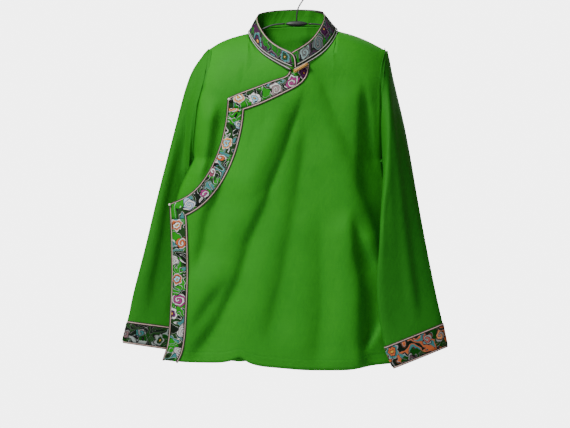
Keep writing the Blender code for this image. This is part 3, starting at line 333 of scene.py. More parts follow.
def brocade_group(name, silks):
    """Flowers and curled clouds with dark outlines on a green ground, laid along a ribbon."""
    inputs = [("Ribbon", "vector"), ("Width", "value"), ("Figure", "value"), ("Leaf", "colour")]
    inputs += [("Cloud", "colour"), ("Outline", "colour"), ("Green", "value")]
    outputs = [("Colour", "colour"), ("Roughness", "value"), ("Height", "value")]
    wire, source, target = group_tree(name, inputs, outputs)
    ribbon, size = source["Ribbon"], source["Figure"]
    white, dark = source["Cloud"], source["Outline"]

    # Every line wanders a little, as woven curves do.
    drift = wire.add("ShaderNodeTexNoise", {"Vector": ribbon, "Scale": 70.0, "Detail": 1.0}).outputs["Color"]
    drift = wire.add("ShaderNodeVectorMath", {0: drift, 1: (0.5, 0.5, 0.5)}, operation="SUBTRACT").outputs[0]
    drift = wire.stretched(drift, WANDER, WANDER, 0.0)
    ribbon = wire.add("ShaderNodeVectorMath", {0: ribbon, 1: drift}, operation="ADD").outputs[0]
    along, across, _ = wire.parts(ribbon)

    # The ground: patches one inside another, each with a pale rim and a dark outline.
    field = wire.maths("MULTIPLY", wire.noise(ribbon, 42.0, 0.0, 0.5, 0.9), 6.5)
    level = wire.maths("FLOOR", field)
    within = wire.maths("FRACT", field)
    turned = wire.maths("FRACT", wire.maths("ADD", wire.maths("MULTIPLY", level, NEXT_SILK), 0.11))
    patch = ramp(wire, turned, silks.patches)
    area = wire.noise(ribbon, 30.0, 0.0, 0.5, 0.4)
    leafy = wire.under(area, source["Green"], 0.010)
    ground = wire.mix(leafy, patch, source["Leaf"])
    for share, soft, tint in ((0.26, 0.03, white), (0.18, 0.03, dark), (0.03, 0.02, patch)):
        ground = wire.mix(wire.under(within, share, soft), ground, tint)

    # One figure in each stretch of ribbon, moved, turned and sized by chance.
    stretch = wire.maths("DIVIDE", along, size)
    index = wire.maths("FLOOR", stretch)
    chance = wire.add("ShaderNodeTexWhiteNoise", {"W": index}, noise_dimensions="1D")
    by_x, by_y, by_z = wire.parts(chance.outputs["Color"])
    pick = chance.outputs["Value"]
    middle = wire.maths("ADD", 0.5, wire.maths("MULTIPLY", wire.maths("SUBTRACT", by_x, 0.5), 0.40))
    beside = wire.maths("MULTIPLY", wire.maths("SUBTRACT", wire.maths("FRACT", stretch), middle), size)
    shift = wire.maths("MULTIPLY", wire.maths("SUBTRACT", by_y, 0.5), source["Width"])
    above = wire.maths("SUBTRACT", across, wire.maths("MULTIPLY", shift, 0.95))
    square = wire.maths("ADD", wire.maths("MULTIPLY", beside, beside), wire.maths("MULTIPLY", above, above))
    away = wire.maths("SQRT", square)
    turn = wire.maths("ADD", wire.maths("ARCTAN2", above, beside), wire.maths("MULTIPLY", by_z, 6.0))
    large = wire.maths("MULTIPLY", size, wire.maths("ADD", 0.55, wire.maths("MULTIPLY", by_z, 0.45)))

    # A flower of five or seven petals in two rings, with pale rims, dark veins and a golden heart.
    many = wire.maths("GREATER_THAN", wire.maths("FRACT", wire.maths("MULTIPLY", pick, 5.3)), 0.45)
    petals = wire.maths("ADD", 2.5, many)
    lobes = wire.maths("ABSOLUTE", wire.maths("COSINE", wire.maths("MULTIPLY", turn, petals)))
    reach = wire.maths("MULTIPLY", wire.maths("ADD", 0.31, wire.maths("MULTIPLY", lobes, 0.11)), large)
    accent = ramp(wire, pick, silks.figures)
    second = ramp(wire, wire.maths("FRACT", wire.maths("MULTIPLY", pick, 3.7)), silks.figures)
    ring = wire.maths("DIVIDE", away, reach)
    flower = wire.mix(wire.under(ring, 0.88, 0.03), white, accent)
    vein = wire.maths("MULTIPLY", wire.under(lobes, 0.16, 0.08), wire.under(ring, 0.95, 0.03))
    flower = wire.mix(vein, flower, dark)
    for share, tint in ((0.62, dark), (0.52, second), (0.26, dark), (0.17, HEART_GOLD)):
        flower = wire.mix(wire.under(ring, share, 0.03), flower, tint)

    # A cloud that curls in on itself.
    winding = wire.maths("ADD", turn, wire.maths("DIVIDE", away, CURL))
    coil = wire.maths("SINE", winding)
    cloud = wire.mix(wire.under(coil, 0.45, 0.20), white, wire.mix(0.3, accent, second))
    from_line = wire.maths("ABSOLUTE", wire.maths("SUBTRACT", coil, 0.1))
    cloud = wire.mix(wire.under(from_line, 0.40, 0.10), cloud, dark)
    puffs = wire.maths("ABSOLUTE", wire.maths("COSINE", wire.maths("MULTIPLY", turn, 1.5)))
    cloud_reach = wire.maths("MULTIPLY", wire.maths("ADD", 0.28, wire.maths("MULTIPLY", puffs, 0.13)), large)

    is_cloud = wire.maths("GREATER_THAN", wire.maths("FRACT", wire.maths("MULTIPLY", pick, 7.31)), 0.40)
    figure = wire.mix(is_cloud, flower, cloud)
    edge_of = wire.maths("MULTIPLY", is_cloud, wire.maths("SUBTRACT", cloud_reach, reach))
    edge_of = wire.maths("ADD", reach, edge_of)
    rim = wire.under(away, wire.maths("ADD", edge_of, OUTLINE_THREAD), SOFT_EDGE)
    inside = wire.under(away, edge_of, SOFT_EDGE)
    painted = wire.mix(rim, ground, dark)
    painted = wire.mix(inside, painted, figure)
    # A dark line along both edges of the ribbon: partly a dark edging, partly painted shade beside the
    # piping.
    half = wire.maths("MULTIPLY", source["Width"], 0.5)
    border = wire.maths("SUBTRACT", half, wire.maths("ABSOLUTE", across))
    painted = wire.mix(wire.under(border, PIPING_SHADE_LINE, 0.5 * PIPING_SHADE_LINE), painted, dark)
    wire.feed(target["Colour"], painted)

    # Raised figures in floss silk over a fine twill.
    twill = wire.maths("SINE", wire.maths("MULTIPLY", wire.maths("ADD", along, across), tau / TWILL_RIB))
    floss = wire.noise(wire.stretched(ribbon, 300, 2200, 1), 1.0)
    height = wire.maths("ADD", wire.maths("MULTIPLY", inside, 0.20), wire.maths("MULTIPLY", twill, 0.03))
    height = wire.maths("ADD", height, wire.maths("MULTIPLY", floss, 0.08))
    wire.feed(target["Height"], height)
    gloss = wire.maths("SUBTRACT", 0.62, wire.maths("MULTIPLY", inside, 0.16))
    wire.feed(target["Roughness"], wire.maths("ADD", gloss, wire.maths("MULTIPLY", floss, 0.10)))
    return wire.tree


def material(name, rough=0.6, metallic=0.0):
    """A new material, its wiring and its Principled shader."""
    made = bpy.data.materials.new(name)
    made.use_nodes = True
    wire = Wiring(made.node_tree)
    shader = next(node for node in made.node_tree.nodes if node.type == "BSDF_PRINCIPLED")
    shader.inputs["Roughness"].default_value = rough
    shader.inputs["Metallic"].default_value = metallic
    return made, wire, shader


def place_of(wire, turn=0.0):
    """The place on the object in metres, turned about the line of sight."""
    place = wire.add("ShaderNodeTexCoord").outputs["Object"]
    return wire.add("ShaderNodeMapping", {"Vector": place, "Rotation": (0.0, turn, 0.0)}).outputs[0]


def shared_group(name, build, *values):
    """The node group of that name, built the first time it is asked for."""
    return bpy.data.node_groups.get(name) or build(name, *values)


def bumped(wire, shader, height):
    """Raises the surface by a height in millimetres."""
    bump = wire.add("ShaderNodeBump", {"Height": height, "Strength": 1.0, "Distance": MM})
    wire.feed(shader.inputs["Normal"], bump.outputs[0])


def attribute(wire, name):
    """A number kept on the mesh by the code that made it."""
    return wire.add("ShaderNodeAttribute", attribute_name=name).outputs["Fac"]


# The cloth's shallow wrinkles: their lean in degrees, and how close together they are each way, per metre.
WRINKLE_LEAN = -24.0
WRINKLE_SCALE = (34.0, 34.0, 9.0)


def cloth_material(name, turn=0.0, shade=1.0, wrinkles=1.0):
    """Green woven cloth with its threads turned to the cut piece's own grain.

    shade darkens its dye as painted shade, and wrinkles is the height of its shallow wrinkles in
    millimetres.
    """
    cloth = bpy.context.scene.shirt_cloth
    made, wire, shader = material(name)
    woven = wire.add("ShaderNodeGroup", node_tree=shared_group("Woven cloth", woven_group))
    values = {"Place": place_of(wire, turn), "Dye": darker(cloth.dye, shade)}
    values.update({"Deep dye": darker(cloth.dye_deep, shade), "Thread": cloth.thread})
    values.update({"Relief": cloth.relief, "Above hem": attribute(wire, "above_hem")})
    values.update({"Hem": cloth.hem, "Stitch": cloth.stitch})
    for socket, value in values.items():
        wire.feed(woven.inputs[socket], value)
    wire.feed(shader.inputs["Base Color"], woven.outputs["Colour"])
    wire.feed(shader.inputs["Roughness"], woven.outputs["Roughness"])
    leaning = wire.stretched(place_of(wire, radians(WRINKLE_LEAN)), *WRINKLE_SCALE)
    wavy = wire.noise(leaning, 1.0, 3.0, 0.6, 0.4)
    bumped(wire, shader, wire.maths("ADD", woven.outputs["Height"], wire.maths("MULTIPLY", wavy, wrinkles)))
    shader.inputs["Specular IOR Level"].default_value = 0.14
    shader.inputs["Sheen Weight"].default_value = cloth.sheen
    shader.inputs["Sheen Roughness"].default_value = 0.45
    shader.inputs["Sheen Tint"].default_value = (0.55, 1.0, 0.45, 1.0)
    return made


def darker(value, factor):
    """A colour made darker or lighter by a factor."""
    return (*[part * factor for part in value[:3]], 1.0)


def brocade_material(name, width, place, shift=0.0, pale=1.0, green=0.0, leaf=1.0):
    """Woven brocade whose flowers and clouds run along the piece's own ribbon map.

    place picks the silks, pale darkens the white ones, leaf changes the bright green one, and green adds to
    the share of the green ground. On the collar and the cuffs, which hang in shade, pale and leaf darken them
    as painted shade.
    """
    trim = bpy.context.scene.shirt_trim
    made, wire, shader = material(name)
    ribbon = wire.add("ShaderNodeUVMap", uv_map="ribbon").outputs[0]
    ribbon = wire.add("ShaderNodeMapping", {"Vector": ribbon, "Location": (shift, 0.0, 0.0)}).outputs[0]
    tree = shared_group(f"Brocade figures of the {place}", brocade_group, SILKS[place])
    figures = wire.add("ShaderNodeGroup", node_tree=tree)
    values = {"Ribbon": ribbon, "Width": width, "Figure": trim.figure, "Leaf": darker(trim.leaf, leaf)}
    values.update({"Outline": trim.outline, "Cloud": darker(trim.cloud, pale), "Green": trim.green + green})
    for socket, value in values.items():
        wire.feed(figures.inputs[socket], value)
    wire.feed(shader.inputs["Base Color"], figures.outputs["Colour"])
    wire.feed(shader.inputs["Roughness"], figures.outputs["Roughness"])
    bumped(wire, shader, figures.outputs["Height"])
    shader.inputs["Specular IOR Level"].default_value = 0.12
    return made


def satin_material(name, tint):
    """Satin piping: fine diagonal threads and a slightly uneven dye."""
    made, wire, shader = material(name, 0.42)
    place = place_of(wire)
    x, y, z = wire.parts(place)
    slant = wire.maths("ADD", wire.maths("ADD", x, y), z)
    threads = wire.maths("SINE", wire.maths("MULTIPLY", slant, tau / SATIN_THREAD))
    patches = wire.noise(place, 160.0, 3.0)
    wire.feed(shader.inputs["Base Color"], wire.mix(patches, darker(tint, 0.72), darker(tint, 1.12)))
    wire.feed(shader.inputs["Roughness"], wire.maths("ADD", 0.36, wire.maths("MULTIPLY", patches, 0.2)))
    bumped(wire, shader, wire.maths("MULTIPLY", threads, 0.03))
    shader.inputs["Sheen Weight"].default_value = 0.15
    return made


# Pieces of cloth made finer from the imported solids


def alone(piece):
    """Selects one object and nothing else."""
    bpy.ops.object.select_all(action="DESELECT")
    piece.select_set(True)
    bpy.context.view_layer.objects.active = piece


def apply_modifier(piece, kind, **settings):
    """Adds a modifier with its settings and applies it."""
    alone(piece)
    bpy.ops.object.modifier_add(type=kind)
    modifier = piece.modifiers[-1]
    for setting, value in settings.items():
        setattr(modifier, setting, value)
    bpy.ops.object.modifier_apply(modifier=modifier.name)


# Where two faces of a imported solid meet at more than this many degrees, the edge between them stays sharp.
# On a cord only the edges of its ends do.
CLOTH_ANGLE = 50.0
CORD_ANGLE = 100.0

# Two triangles become one face with four corners if they meet at less than the first of these angles, and
# if the corners are square to within the second, in degrees.
FLAT_ANGLE = 50.0
SQUARE_ANGLE = 60.0

# How many times a piece's faces are halved, how near points are joined, and the longest edge in the ring
# where a cord turns a corner, both in metres.
FINER = 2
JOINED = 0.00001
CORNER_EDGE = 0.0035


def sewn_copy(node, name, cord=False, shape=None):
    """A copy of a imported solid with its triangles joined, its cut edges kept and its faces made finer.

    shape is a function that changes the copy before its faces are made finer.
    """
    piece = bpy.data.objects.new(name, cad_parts[node].data.copy())
    bpy.context.scene.collection.objects.link(piece)
    piece.data.name = name
    piece.data.materials.clear()
    alone(piece)
    bpy.ops.object.mode_set(mode="EDIT")
    bpy.ops.mesh.select_all(action="SELECT")
    bpy.ops.mesh.remove_doubles(threshold=JOINED)
    bpy.ops.mesh.tris_convert_to_quads(
        face_threshold=radians(FLAT_ANGLE), shape_threshold=radians(SQUARE_ANGLE)
    )
    bpy.ops.mesh.select_all(action="DESELECT")
    bpy.ops.object.mode_set(mode="OBJECT")
    if shape:
        shape(piece)
    keep_angle = radians(CORD_ANGLE if cord else CLOTH_ANGLE)
    keep_sharp(piece, keep_angle, cord)
    apply_modifier(piece, "SUBSURF", levels=FINER, render_levels=FINER)
    bpy.ops.object.shade_smooth_by_angle(angle=keep_angle)
    return piece


def keep_sharp(piece, keep_angle, cord):
    """Creases the edges that stay sharp while the faces are made finer."""
    solid = bmesh.new()
    solid.from_mesh(piece.data)
    crease = solid.edges.layers.float.get("crease_edge") or solid.edges.layers.float.new("crease_edge")
    for edge in solid.edges:
        sharp = len(edge.link_faces) == 2 and edge.calc_face_angle() > keep_angle
        edge[crease] = 1.0 if sharp else 0.0
    if cord:
        # Where a cord turns a corner, the ring of short edges there stays in place.
        whole = [edge for edge in solid.edges if len(edge.link_faces) == 2]
        short = [edge for edge in whole if edge.calc_length() < CORNER_EDGE]
        bent = [edge for edge in short if edge.calc_face_angle() > radians(CLOTH_ANGLE)]
        turned = {point for edge in bent for point in edge.verts}
        for edge in short:
            if turned.issuperset(edge.verts):
                edge[crease] = 1.0
    solid.to_mesh(piece.data)
    solid.free()


def put_in_order(parts, place):
    """Puts a mesh's points, edges or faces in the order of their places, which is the same each run."""
    for index, part in enumerate(sorted(parts, key=place)):
        part.index = index
    parts.sort()


# An edge shorter than this crosses the cloth's thickness. The armholes end above this height, and the cuffs
# lie below it. Both in metres.
CUT_EDGE = 0.0017
ARMHOLE_BOTTOM = -0.45

# The steps in which a sleeve's spare cloth leaves its armhole: how far on and how far inwards, in metres.
SPARE_CLOTH = ((0.0006, 0.0), (0.0012, 0.0030), (0.007, 0.0004))


def tuck_under(piece):
    """Carries the sleeve's cut edge on at the armhole, inside the body, as the seam's spare cloth."""
    solid = bmesh.new()
    solid.from_mesh(piece.data)
    rim = [face for face in solid.faces if min(edge.calc_length() for edge in face.edges) < CUT_EDGE]
    rim = [face for face in rim if face.calc_center_median().z > ARMHOLE_BOTTOM]
    middle = sum((face.calc_center_median() for face in rim), Vector()) / len(rim)
    for step, inward in SPARE_CLOTH:
        grown = bmesh.ops.extrude_face_region(solid, geom=rim)["geom"]
        bmesh.ops.delete(solid, geom=[face for face in rim if face.is_valid], context="FACES_ONLY")
        rim = [item for item in grown if isinstance(item, bmesh.types.BMFace)]
        solid.normal_update()
        inside = set(rim)
        ways = {}
        for point in {point for face in rim for point in face.verts}:
            out = sum((face.normal for face in point.link_faces if face in inside), Vector()).normalized()
            home = middle - point.co
            home = (home - home.dot(out) * out).normalized()
            ways[point] = out * step + home * inward
        for point, way in ways.items():
            point.co += way
    put_in_order(solid.verts, lambda point: point.co[:])
    put_in_order(solid.edges, lambda edge: (edge.verts[0].co + edge.verts[1].co)[:])
    put_in_order(solid.faces, lambda face: face.calc_center_median()[:])
    solid.to_mesh(piece.data)
    solid.free()


def points_of(piece):
    """The mesh's points as rows of x, y and z."""
    places = np.empty(len(piece.data.vertices) * 3, np.float32)
    piece.data.vertices.foreach_get("co", places)
    return places.reshape(-1, 3).astype(float)


def normals_of(piece):
    """The mesh's own directions outwards, one for each point."""
    return np.array([item.vector[:] for item in piece.data.vertex_normals], float)


def move_points(piece, places):
    """Puts the mesh's points at new places."""
    piece.data.vertices.foreach_set("co", places.astype(np.float32).ravel())
    piece.data.update()


def finish_piece(piece, finish, slot, *nodes):
    """Gives a piece its material, hangs it from the root and hides the solids that it stands for."""
    piece.data.materials.clear()
    piece.data.materials.append(finish)
    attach(piece, "root")
    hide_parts(*nodes)


def finish_rest(piece, finish, first):
    """Gives a second material to the faces from the first one on."""
    piece.data.materials.append(finish)
    chosen = np.arange(len(piece.data.polygons)) >= first
    piece.data.polygons.foreach_set("material_index", chosen.astype(np.int32))


def keep_number(piece, name, values):
    """Stores a number for each point of the mesh."""
    kept = piece.data.attributes.new(name, "FLOAT", "POINT")
    kept.data.foreach_set("value", np.asarray(values, np.float32))


def keep_ribbon(piece, along, across):
    """Stores a map with the distance along and across a ribbon, in metres."""
    both = np.stack([along, across], axis=1).astype(np.float32)
    corners = np.empty(len(piece.data.loops), np.int32)
    piece.data.loops.foreach_get("vertex_index", corners)
    made = piece.data.uv_layers.new(name="ribbon")
    made.uv.foreach_set("vector", both[corners].ravel())


def nearest_on_line(places, line):
    """For points seen from the front: how far along the line each one is, and how far from it.

    It also gives the side, 1 to the right of a line that runs down and -1 to its left, and the line's whole
    length.
    """
    flat = places[:, [0, 2]]
    best = np.full(len(flat), np.inf)
    along = np.zeros(len(flat))
    side = np.ones(len(flat))
    travelled = 0.0
    for start, end in zip(line[:-1], line[1:]):
        run = end - start
        size = np.linalg.norm(run)
        reach = flat - start
        share = np.clip(reach @ run / size**2, 0.0, 1.0)
        away = np.linalg.norm(reach - share[:, None] * run, axis=1)
        closer = away < best
        best[closer] = away[closer]
        along[closer] = travelled + share[closer] * size
        turn = run[0] * reach[:, 1] - run[1] * reach[:, 0]
        side[closer] = np.sign(turn)[closer]
        travelled += size
    return along, best, side, travelled


def on_shirt(rows):
    """Rows of the shirt's table, x and drop in millimetres, as x and z in metres."""
    return np.array([((x + LINE_X) * MM, -drop * MM) for x, drop in rows], float)


def on_picture(rows):
    """Places in the picture, in pixels, as x and z in metres."""
    placed = [((x - LINE_COLUMN) * PIXEL + LINE_X, (HOOK_ROW - y) * PIXEL) for x, y in rows]
    return np.array(placed, float) * MM


def eased(value):
    """A smooth step from 0 to 1."""
    value = np.clip(value, 0.0, 1.0)
    return value * value * (3.0 - 2.0 * value)


# Where the folds lie

# A fold follows a line in the picture, in pixels from the top down. Along that line the cloth falls away
# to the right by its height in millimetres: gently on the left of the line, sharply on its right, as its
# width says, or the other way round where the width is negative. It comes back over its left and
# right tails. All but the tails grow by its spread.
Fold = namedtuple("Fold", "height width left right spread path")

FRONT_FOLDS = [
    Fold(14.0, 5.5, 90, 60, 1.9, [
        (306, 76), (304, 88), (300, 101), (293, 120), (286, 140), (279, 160), (271, 180), (265, 200),
        (256, 220), (247, 240), (242, 260), (236, 280), (226, 300), (216, 320), (203, 338), (190, 358),
        (180, 374),
    ]),
    Fold(23.8, 10.0, 40, 80, 0.7, [
        (230, 172), (224, 182), (216, 195), (208, 210), (204, 225), (202, 240), (198, 255), (194, 276),
    ]),
    Fold(12.0, 6.0, 60, 26, 1.0, [(226, 274), (220, 286), (208, 301), (197, 318), (185, 337)]),
    Fold(10.5, 8.0, 70, 70, 2.0, [
        (304, 108), (302, 140), (299, 165), (295, 190), (290, 215), (286, 240), (282, 262), (276, 290),
        (268, 322), (262, 350),
    ]),
    Fold(11.5, 9.0, 70, 70, 1.3, [
        (312, 66), (318, 80), (326, 98), (334, 118), (342, 138), (349, 158), (354, 176),
    ]),
    Fold(22.0, -7.5, 60, 50, 1.5, [
        (364, 76), (362, 90), (360, 104), (360, 120), (359, 140), (358, 160), (358, 176), (360, 190),
        (365, 203), (370, 216), (375, 230), (380, 246), (385, 262),
    ]),
    Fold(24.0, -7.5, 60, 50, 1.5, [
        (350, 204), (352, 222), (353, 236), (354, 250), (356, 262), (359, 275), (361, 288), (361, 305),
        (361, 325), (361, 345), (362, 365), (363, 385),
    ]),
    Fold(-14.0, 5.5, 15, 26, 1.2, [(354, 214), (359, 228), (365, 242), (371, 256), (377, 270), (382, 284)]),
    Fold(-17.0, 5.0, 18, 28, 1.0, [(386, 312), (380, 325), (373, 337), (366, 350), (359, 364)]),
    Fold(8.4, 10.0, 60, 55, 1.4, [
        (316, 205), (318, 230), (319, 255), (319, 280), (319, 305), (318, 325), (314, 350), (312, 372),
    ]),
    Fold(3.6, 7.0, 20, 30, 1.3, [(338, 318), (341, 335), (343, 352), (345, 372)]),
    Fold(36.0, -11.0, 45, 55, 0.8, [
        (220, 96), (217, 110), (214, 124), (212, 138), (209, 152), (206, 166), (201, 180), (196, 194),
    ]),
    Fold(-12.0, 5.0, 10, 24, 1.0, [
        (363, 72), (366, 90), (369, 110), (371, 130), (373, 148), (376, 165), (380, 182),
    ]),
    Fold(3.4, 3.5, 22, 22, 1.4, [(243, 50), (243, 64), (241, 80), (240, 98)]),
    Fold(2.2, 2.5, 9, 9, 1.0, [(214, 76), (219, 83), (226, 91), (232, 96)]),
    Fold(1.8, 2.5, 9, 9, 1.0, [(255, 112), (254, 126), (250, 140), (243, 156)]),
    Fold(1.7, 3.0, 12, 12, 1.2, [(266, 104), (262, 122), (256, 142)]),
    Fold(1.4, 1.8, 7, 7, 1.0, [(232, 271), (238, 265), (246, 262)]),
    Fold(1.4, 1.8, 7, 7, 1.0, [(348, 270), (353, 276), (359, 281)]),
]

# The back hangs from the shoulder blades in a few shallow folds, judged, as no picture shows it.
BACK_FOLDS = [
    Fold(7.0, 12.0, 60, 60, 1.5, [
        (236, 70), (232, 110), (226, 160), (220, 220), (214, 290), (210, 365), (209, 390),
    ]),
    Fold(-6.0, 12.0, 60, 60, 1.5, [
        (330, 70), (336, 110), (341, 160), (347, 220), (354, 290), (358, 365), (359, 390),
    ]),
    Fold(4.0, 14.0, 60, 60, 1.6, [(284, 120), (283, 180), (280, 240), (276, 310), (274, 365), (273, 390)]),
    Fold(-3.5, 9.0, 30, 30, 1.4, [(308, 190), (311, 240), (315, 300), (317, 365), (318, 390)]),
    Fold(3.0, 6.0, 24, 24, 1.2, [(246, 210), (243, 260), (240, 310), (238, 365), (237, 390)]),
]

RIGHT_SLEEVE_FOLDS = [
    Fold(11.0, 7.5, 40, 30, 1.0, [
        (201, 50), (197, 64), (193, 80), (189, 96), (186, 112), (183, 130), (179, 150), (174, 170),
        (169, 190), (165, 210), (162, 230), (158, 250), (154, 270), (150, 290), (147, 318),
    ]),
    Fold(7.5, 3.0, 14, 7, 1.0, [
        (206, 60), (203, 72), (201, 85), (198, 100), (195, 118), (192, 136), (188, 152),
    ]),
    Fold(2.0, 4.0, 14, 14, 1.0, [(172, 290), (169, 305), (166, 322)]),
]

LEFT_SLEEVE_FOLDS = [
    Fold(13.0, 7.0, 18, 60, 1.2, [
        (389, 58), (391, 85), (395, 120), (399, 155), (403, 190), (407, 225), (411, 260), (416, 295),
        (422, 330),
    ]),
    Fold(1.5, 9.0, 24, 24, 1.2, [(416, 255), (417, 275), (418, 300), (420, 322)]),
]

# The armholes' front edges in the picture. The sleeves' folds die out towards them.
RIGHT_ARMHOLE = [(207, 52), (203, 85), (196, 115), (192, 140), (186, 170)]
LEFT_ARMHOLE = [(381, 50), (382, 115), (381, 160)]

# The turn of a sleeve's threads in degrees, and its painted shade: a factor that darkens its dye, so that the
# sleeves, which hang in shade, look darker than the body.
Sleeve = namedtuple("Sleeve", "grain shade armhole folds")
SLEEVES = {
    "right": Sleeve(14.0, 0.78, RIGHT_ARMHOLE, RIGHT_SLEEVE_FOLDS),
    "left": Sleeve(-14.0, 0.72, LEFT_ARMHOLE, LEFT_SLEEVE_FOLDS),
}

# The reach of a fold's gentle and of its sharp flank, as shares of its width. A fold fades out at its ends,
# over FADE_LENGTH metres, but over no less than FADE_SHARE of its path and no more than half.
GENTLE_FLANK = 1.5
SHARP_FLANK = 0.6
FADE_LENGTH = 0.065
FADE_SHARE = 0.16


def fold_lift(places, folds):
    """How far the folds lift points seen from the front towards the viewer, in metres."""
    total = np.zeros(len(places))
    for fold in folds:
        along, away, side, whole = nearest_on_line(places, on_picture(fold.path))
        share = along / whole
        growth = 1.0 + (fold.spread - 1.0) * share
        tail = np.where(side > 0, fold.right, fold.left) * MM
        gentle = GENTLE_FLANK * abs(fold.width) * MM * growth
        sharp = SHARP_FLANK * abs(fold.width) * MM * growth
        before, after = (gentle, sharp) if fold.width > 0 else (sharp, gentle)
        # One smooth step: up by half the height on the left, down by half on the right.
        fall = np.where(
            side > 0,
            1.0 - 2.0 * after / (before + after) * np.exp(-away / after),
            -1.0 + 2.0 * before / (before + after) * np.exp(-away / before),
        )
        fall *= np.exp(-((away / tail) ** 2))
        ends = min(0.5, max(FADE_SHARE, FADE_LENGTH / whole))
        fade = eased(share / ends) * eased((1.0 - share) / ends)
        total -= 0.5 * fold.height * MM * growth * fade * fall
    return total


def outline_of(nodes, bins=90):
    """Seen from the front: the left and right ends of some solids at each height, and their top at each x."""
    places = np.concatenate([node_points(node) for node in nodes])
    heights = np.linspace(places[:, 2].min(), places[:, 2].max(), bins)
    step = heights[1] - heights[0]
    rows = [places[np.abs(places[:, 2] - height) < 1.5 * step] for height in heights]
    left = np.array([row[:, 0].min() for row in rows])
    right = np.array([row[:, 0].max() for row in rows])
    columns = np.linspace(places[:, 0].min(), places[:, 0].max(), bins)
    step = columns[1] - columns[0]
    stacks = [places[np.abs(places[:, 0] - column) < 1.5 * step] for column in columns]
    top = np.array([stack[:, 2].max() for stack in stacks])
    return heights, left, right, columns, top


def seam_share(places, outline, reach=0.010):
    """0 at the side seams, armholes, shoulders and neckline, so that what is sewn stays put, 1 elsewhere."""
    heights, left, right, columns, top = outline
    from_left = places[:, 0] - np.interp(places[:, 2], heights, left)
    from_right = np.interp(places[:, 2], heights, right) - places[:, 0]
    below_top = np.interp(places[:, 0], columns, top) - places[:, 2]
    return eased(from_left / reach) * eased(from_right / reach) * eased(below_top / (3.5 * reach))


def node_points(node, between=8):
    """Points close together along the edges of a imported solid."""
    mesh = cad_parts[node].data
    corners = np.array([point.co[:] for point in mesh.vertices], float)
    edges = np.array([edge.vertices[:] for edge in mesh.edges])
    shares = np.linspace(0.0, 1.0, between)[:, None, None]
    along = corners[edges[:, 0]] * (1.0 - shares) + corners[edges[:, 1]] * shares
    return np.unique(np.round(along.reshape(-1, 3), 5), axis=0)


# Heights in the shirt and how far its front is drawn back there, in millimetres, to fall evenly to the hem.
DRAWN_BACK = [(-830, 7.5), (-670, 3.0), (-550, 0.5), (-430, -2.0), (-310, 0.0)]

# It is drawn back from the chest down, wholly so from CHEST_FADE below it and SIDE_FADE from its side seams.
CHEST_HEIGHT = -0.24
CHEST_FADE = 0.12
SIDE_FADE = 0.09


def drawn_back(places, outline):
    """How far the front is drawn back below the chest, in metres, less and less towards the side seams."""
    heights, depths = np.array(DRAWN_BACK).T * MM
    back = np.polyval(np.polyfit(heights, depths, 3), places[:, 2])
    levels, left, right, _, _ = outline
    from_left = places[:, 0] - np.interp(places[:, 2], levels, left)
    from_right = np.interp(places[:, 2], levels, right) - places[:, 0]
    back *= eased((CHEST_HEIGHT - places[:, 2]) / CHEST_FADE)
    return back * eased(from_left / SIDE_FADE) * eased(from_right / SIDE_FADE)


def fold_front(piece):
    """Folds a piece of the front. Every layer moves by the same amount, so none comes through another."""
    places = points_of(piece)
    outline = outline_of(["front_outer", "front_under"])
    lift = fold_lift(places, FRONT_FOLDS) * seam_share(places, outline)
    places[:, 1] -= lift * bpy.context.scene.shirt_cloth.creases
    places[:, 1] += drawn_back(points_of(piece), outline)
    move_points(piece, places)


def fold_back(piece):
    """Folds the back panel, away from the viewer."""
    places = points_of(piece)
    lift = fold_lift(places, BACK_FOLDS) * seam_share(places, outline_of(["back"]))
    places[:, 1] += lift * bpy.context.scene.shirt_cloth.creases
    move_points(piece, places)


# A sleeve's folds start SLEEVE_BEHIND behind its middle and are whole SLEEVE_ROUND further forward. They
# start SEAM_KEPT from the armhole's seam and are whole SEAM_FADE on, and they die out over the last
# END_FADE above the sleeve's end. All in metres.
SLEEVE_BEHIND = 0.004
SLEEVE_ROUND = 0.014
SEAM_KEPT = 0.003
SEAM_FADE = 0.014
END_FADE = 0.05


def fold_sleeve(piece, sleeve):
    """Folds the front of a sleeve, which hangs as a flat tube, and leaves its back and its seam."""
    places = points_of(piece)
    flat = np.column_stack([places[:, 0], places[:, 2], np.ones(len(places))])
    middle = flat @ np.linalg.lstsq(flat, places[:, 1], rcond=None)[0]
    front = eased((middle - places[:, 1] + SLEEVE_BEHIND) / SLEEVE_ROUND)
    heights = places[:, 2]
    from_seam = nearest_on_line(places, on_picture(sleeve.armhole))[1]
    ends = eased((from_seam - SEAM_KEPT) / SEAM_FADE) * eased((heights - heights.min()) / END_FADE)
    lift = fold_lift(places, sleeve.folds) * front * ends
    places[:, 1] -= lift * bpy.context.scene.shirt_cloth.creases
    move_points(piece, places)


# Borders of the front opening, as part.py has them: x and drop in the shirt's table, and where the brocade's
# pattern starts along each, in metres.
Border = namedtuple("Border", "line shift")
SLANT = [(-117, 247), (-88, 235), (-55, 223), (-21, 210), (9, 201), (24, 193), (36, 180), (42, 160)]
CURVE = [(-117, 247), (-119, 278), (-129, 331), (-154, 396), (-191, 446), (-219, 464), (-243, 472)]
SIDE = [(-243, 472), (-240, 518), (-238, 613), (-242, 720), (-246, 771), (-258, 806)]
BORDERS = {"slant": Border(SLANT, 0.0), "curve": Border(CURVE, 0.31), "side": Border(SIDE, 0.77)}
RIBBON_WIDTH = 0.030
CUFF_WIDTH = 0.040

# A cuff's middle seen from the front, in the shirt's table, and the turn of the sleeve's axis there, in
# degrees from straight down. Then, for its brocade, where the pattern starts in metres, how white the
# clouds are, darkened as painted shade since the cuffs hang in shade, and what is added to the bright
# green's share.
Cuff = namedtuple("Cuff", "x drop turn shift pale green")
CUFFS = {
    "right": Cuff(-278, 755, 12.0, 1.3, 0.26, -0.01),
    "left": Cuff(285, 772, -17.0, 1.9, 0.40, -0.10),
}


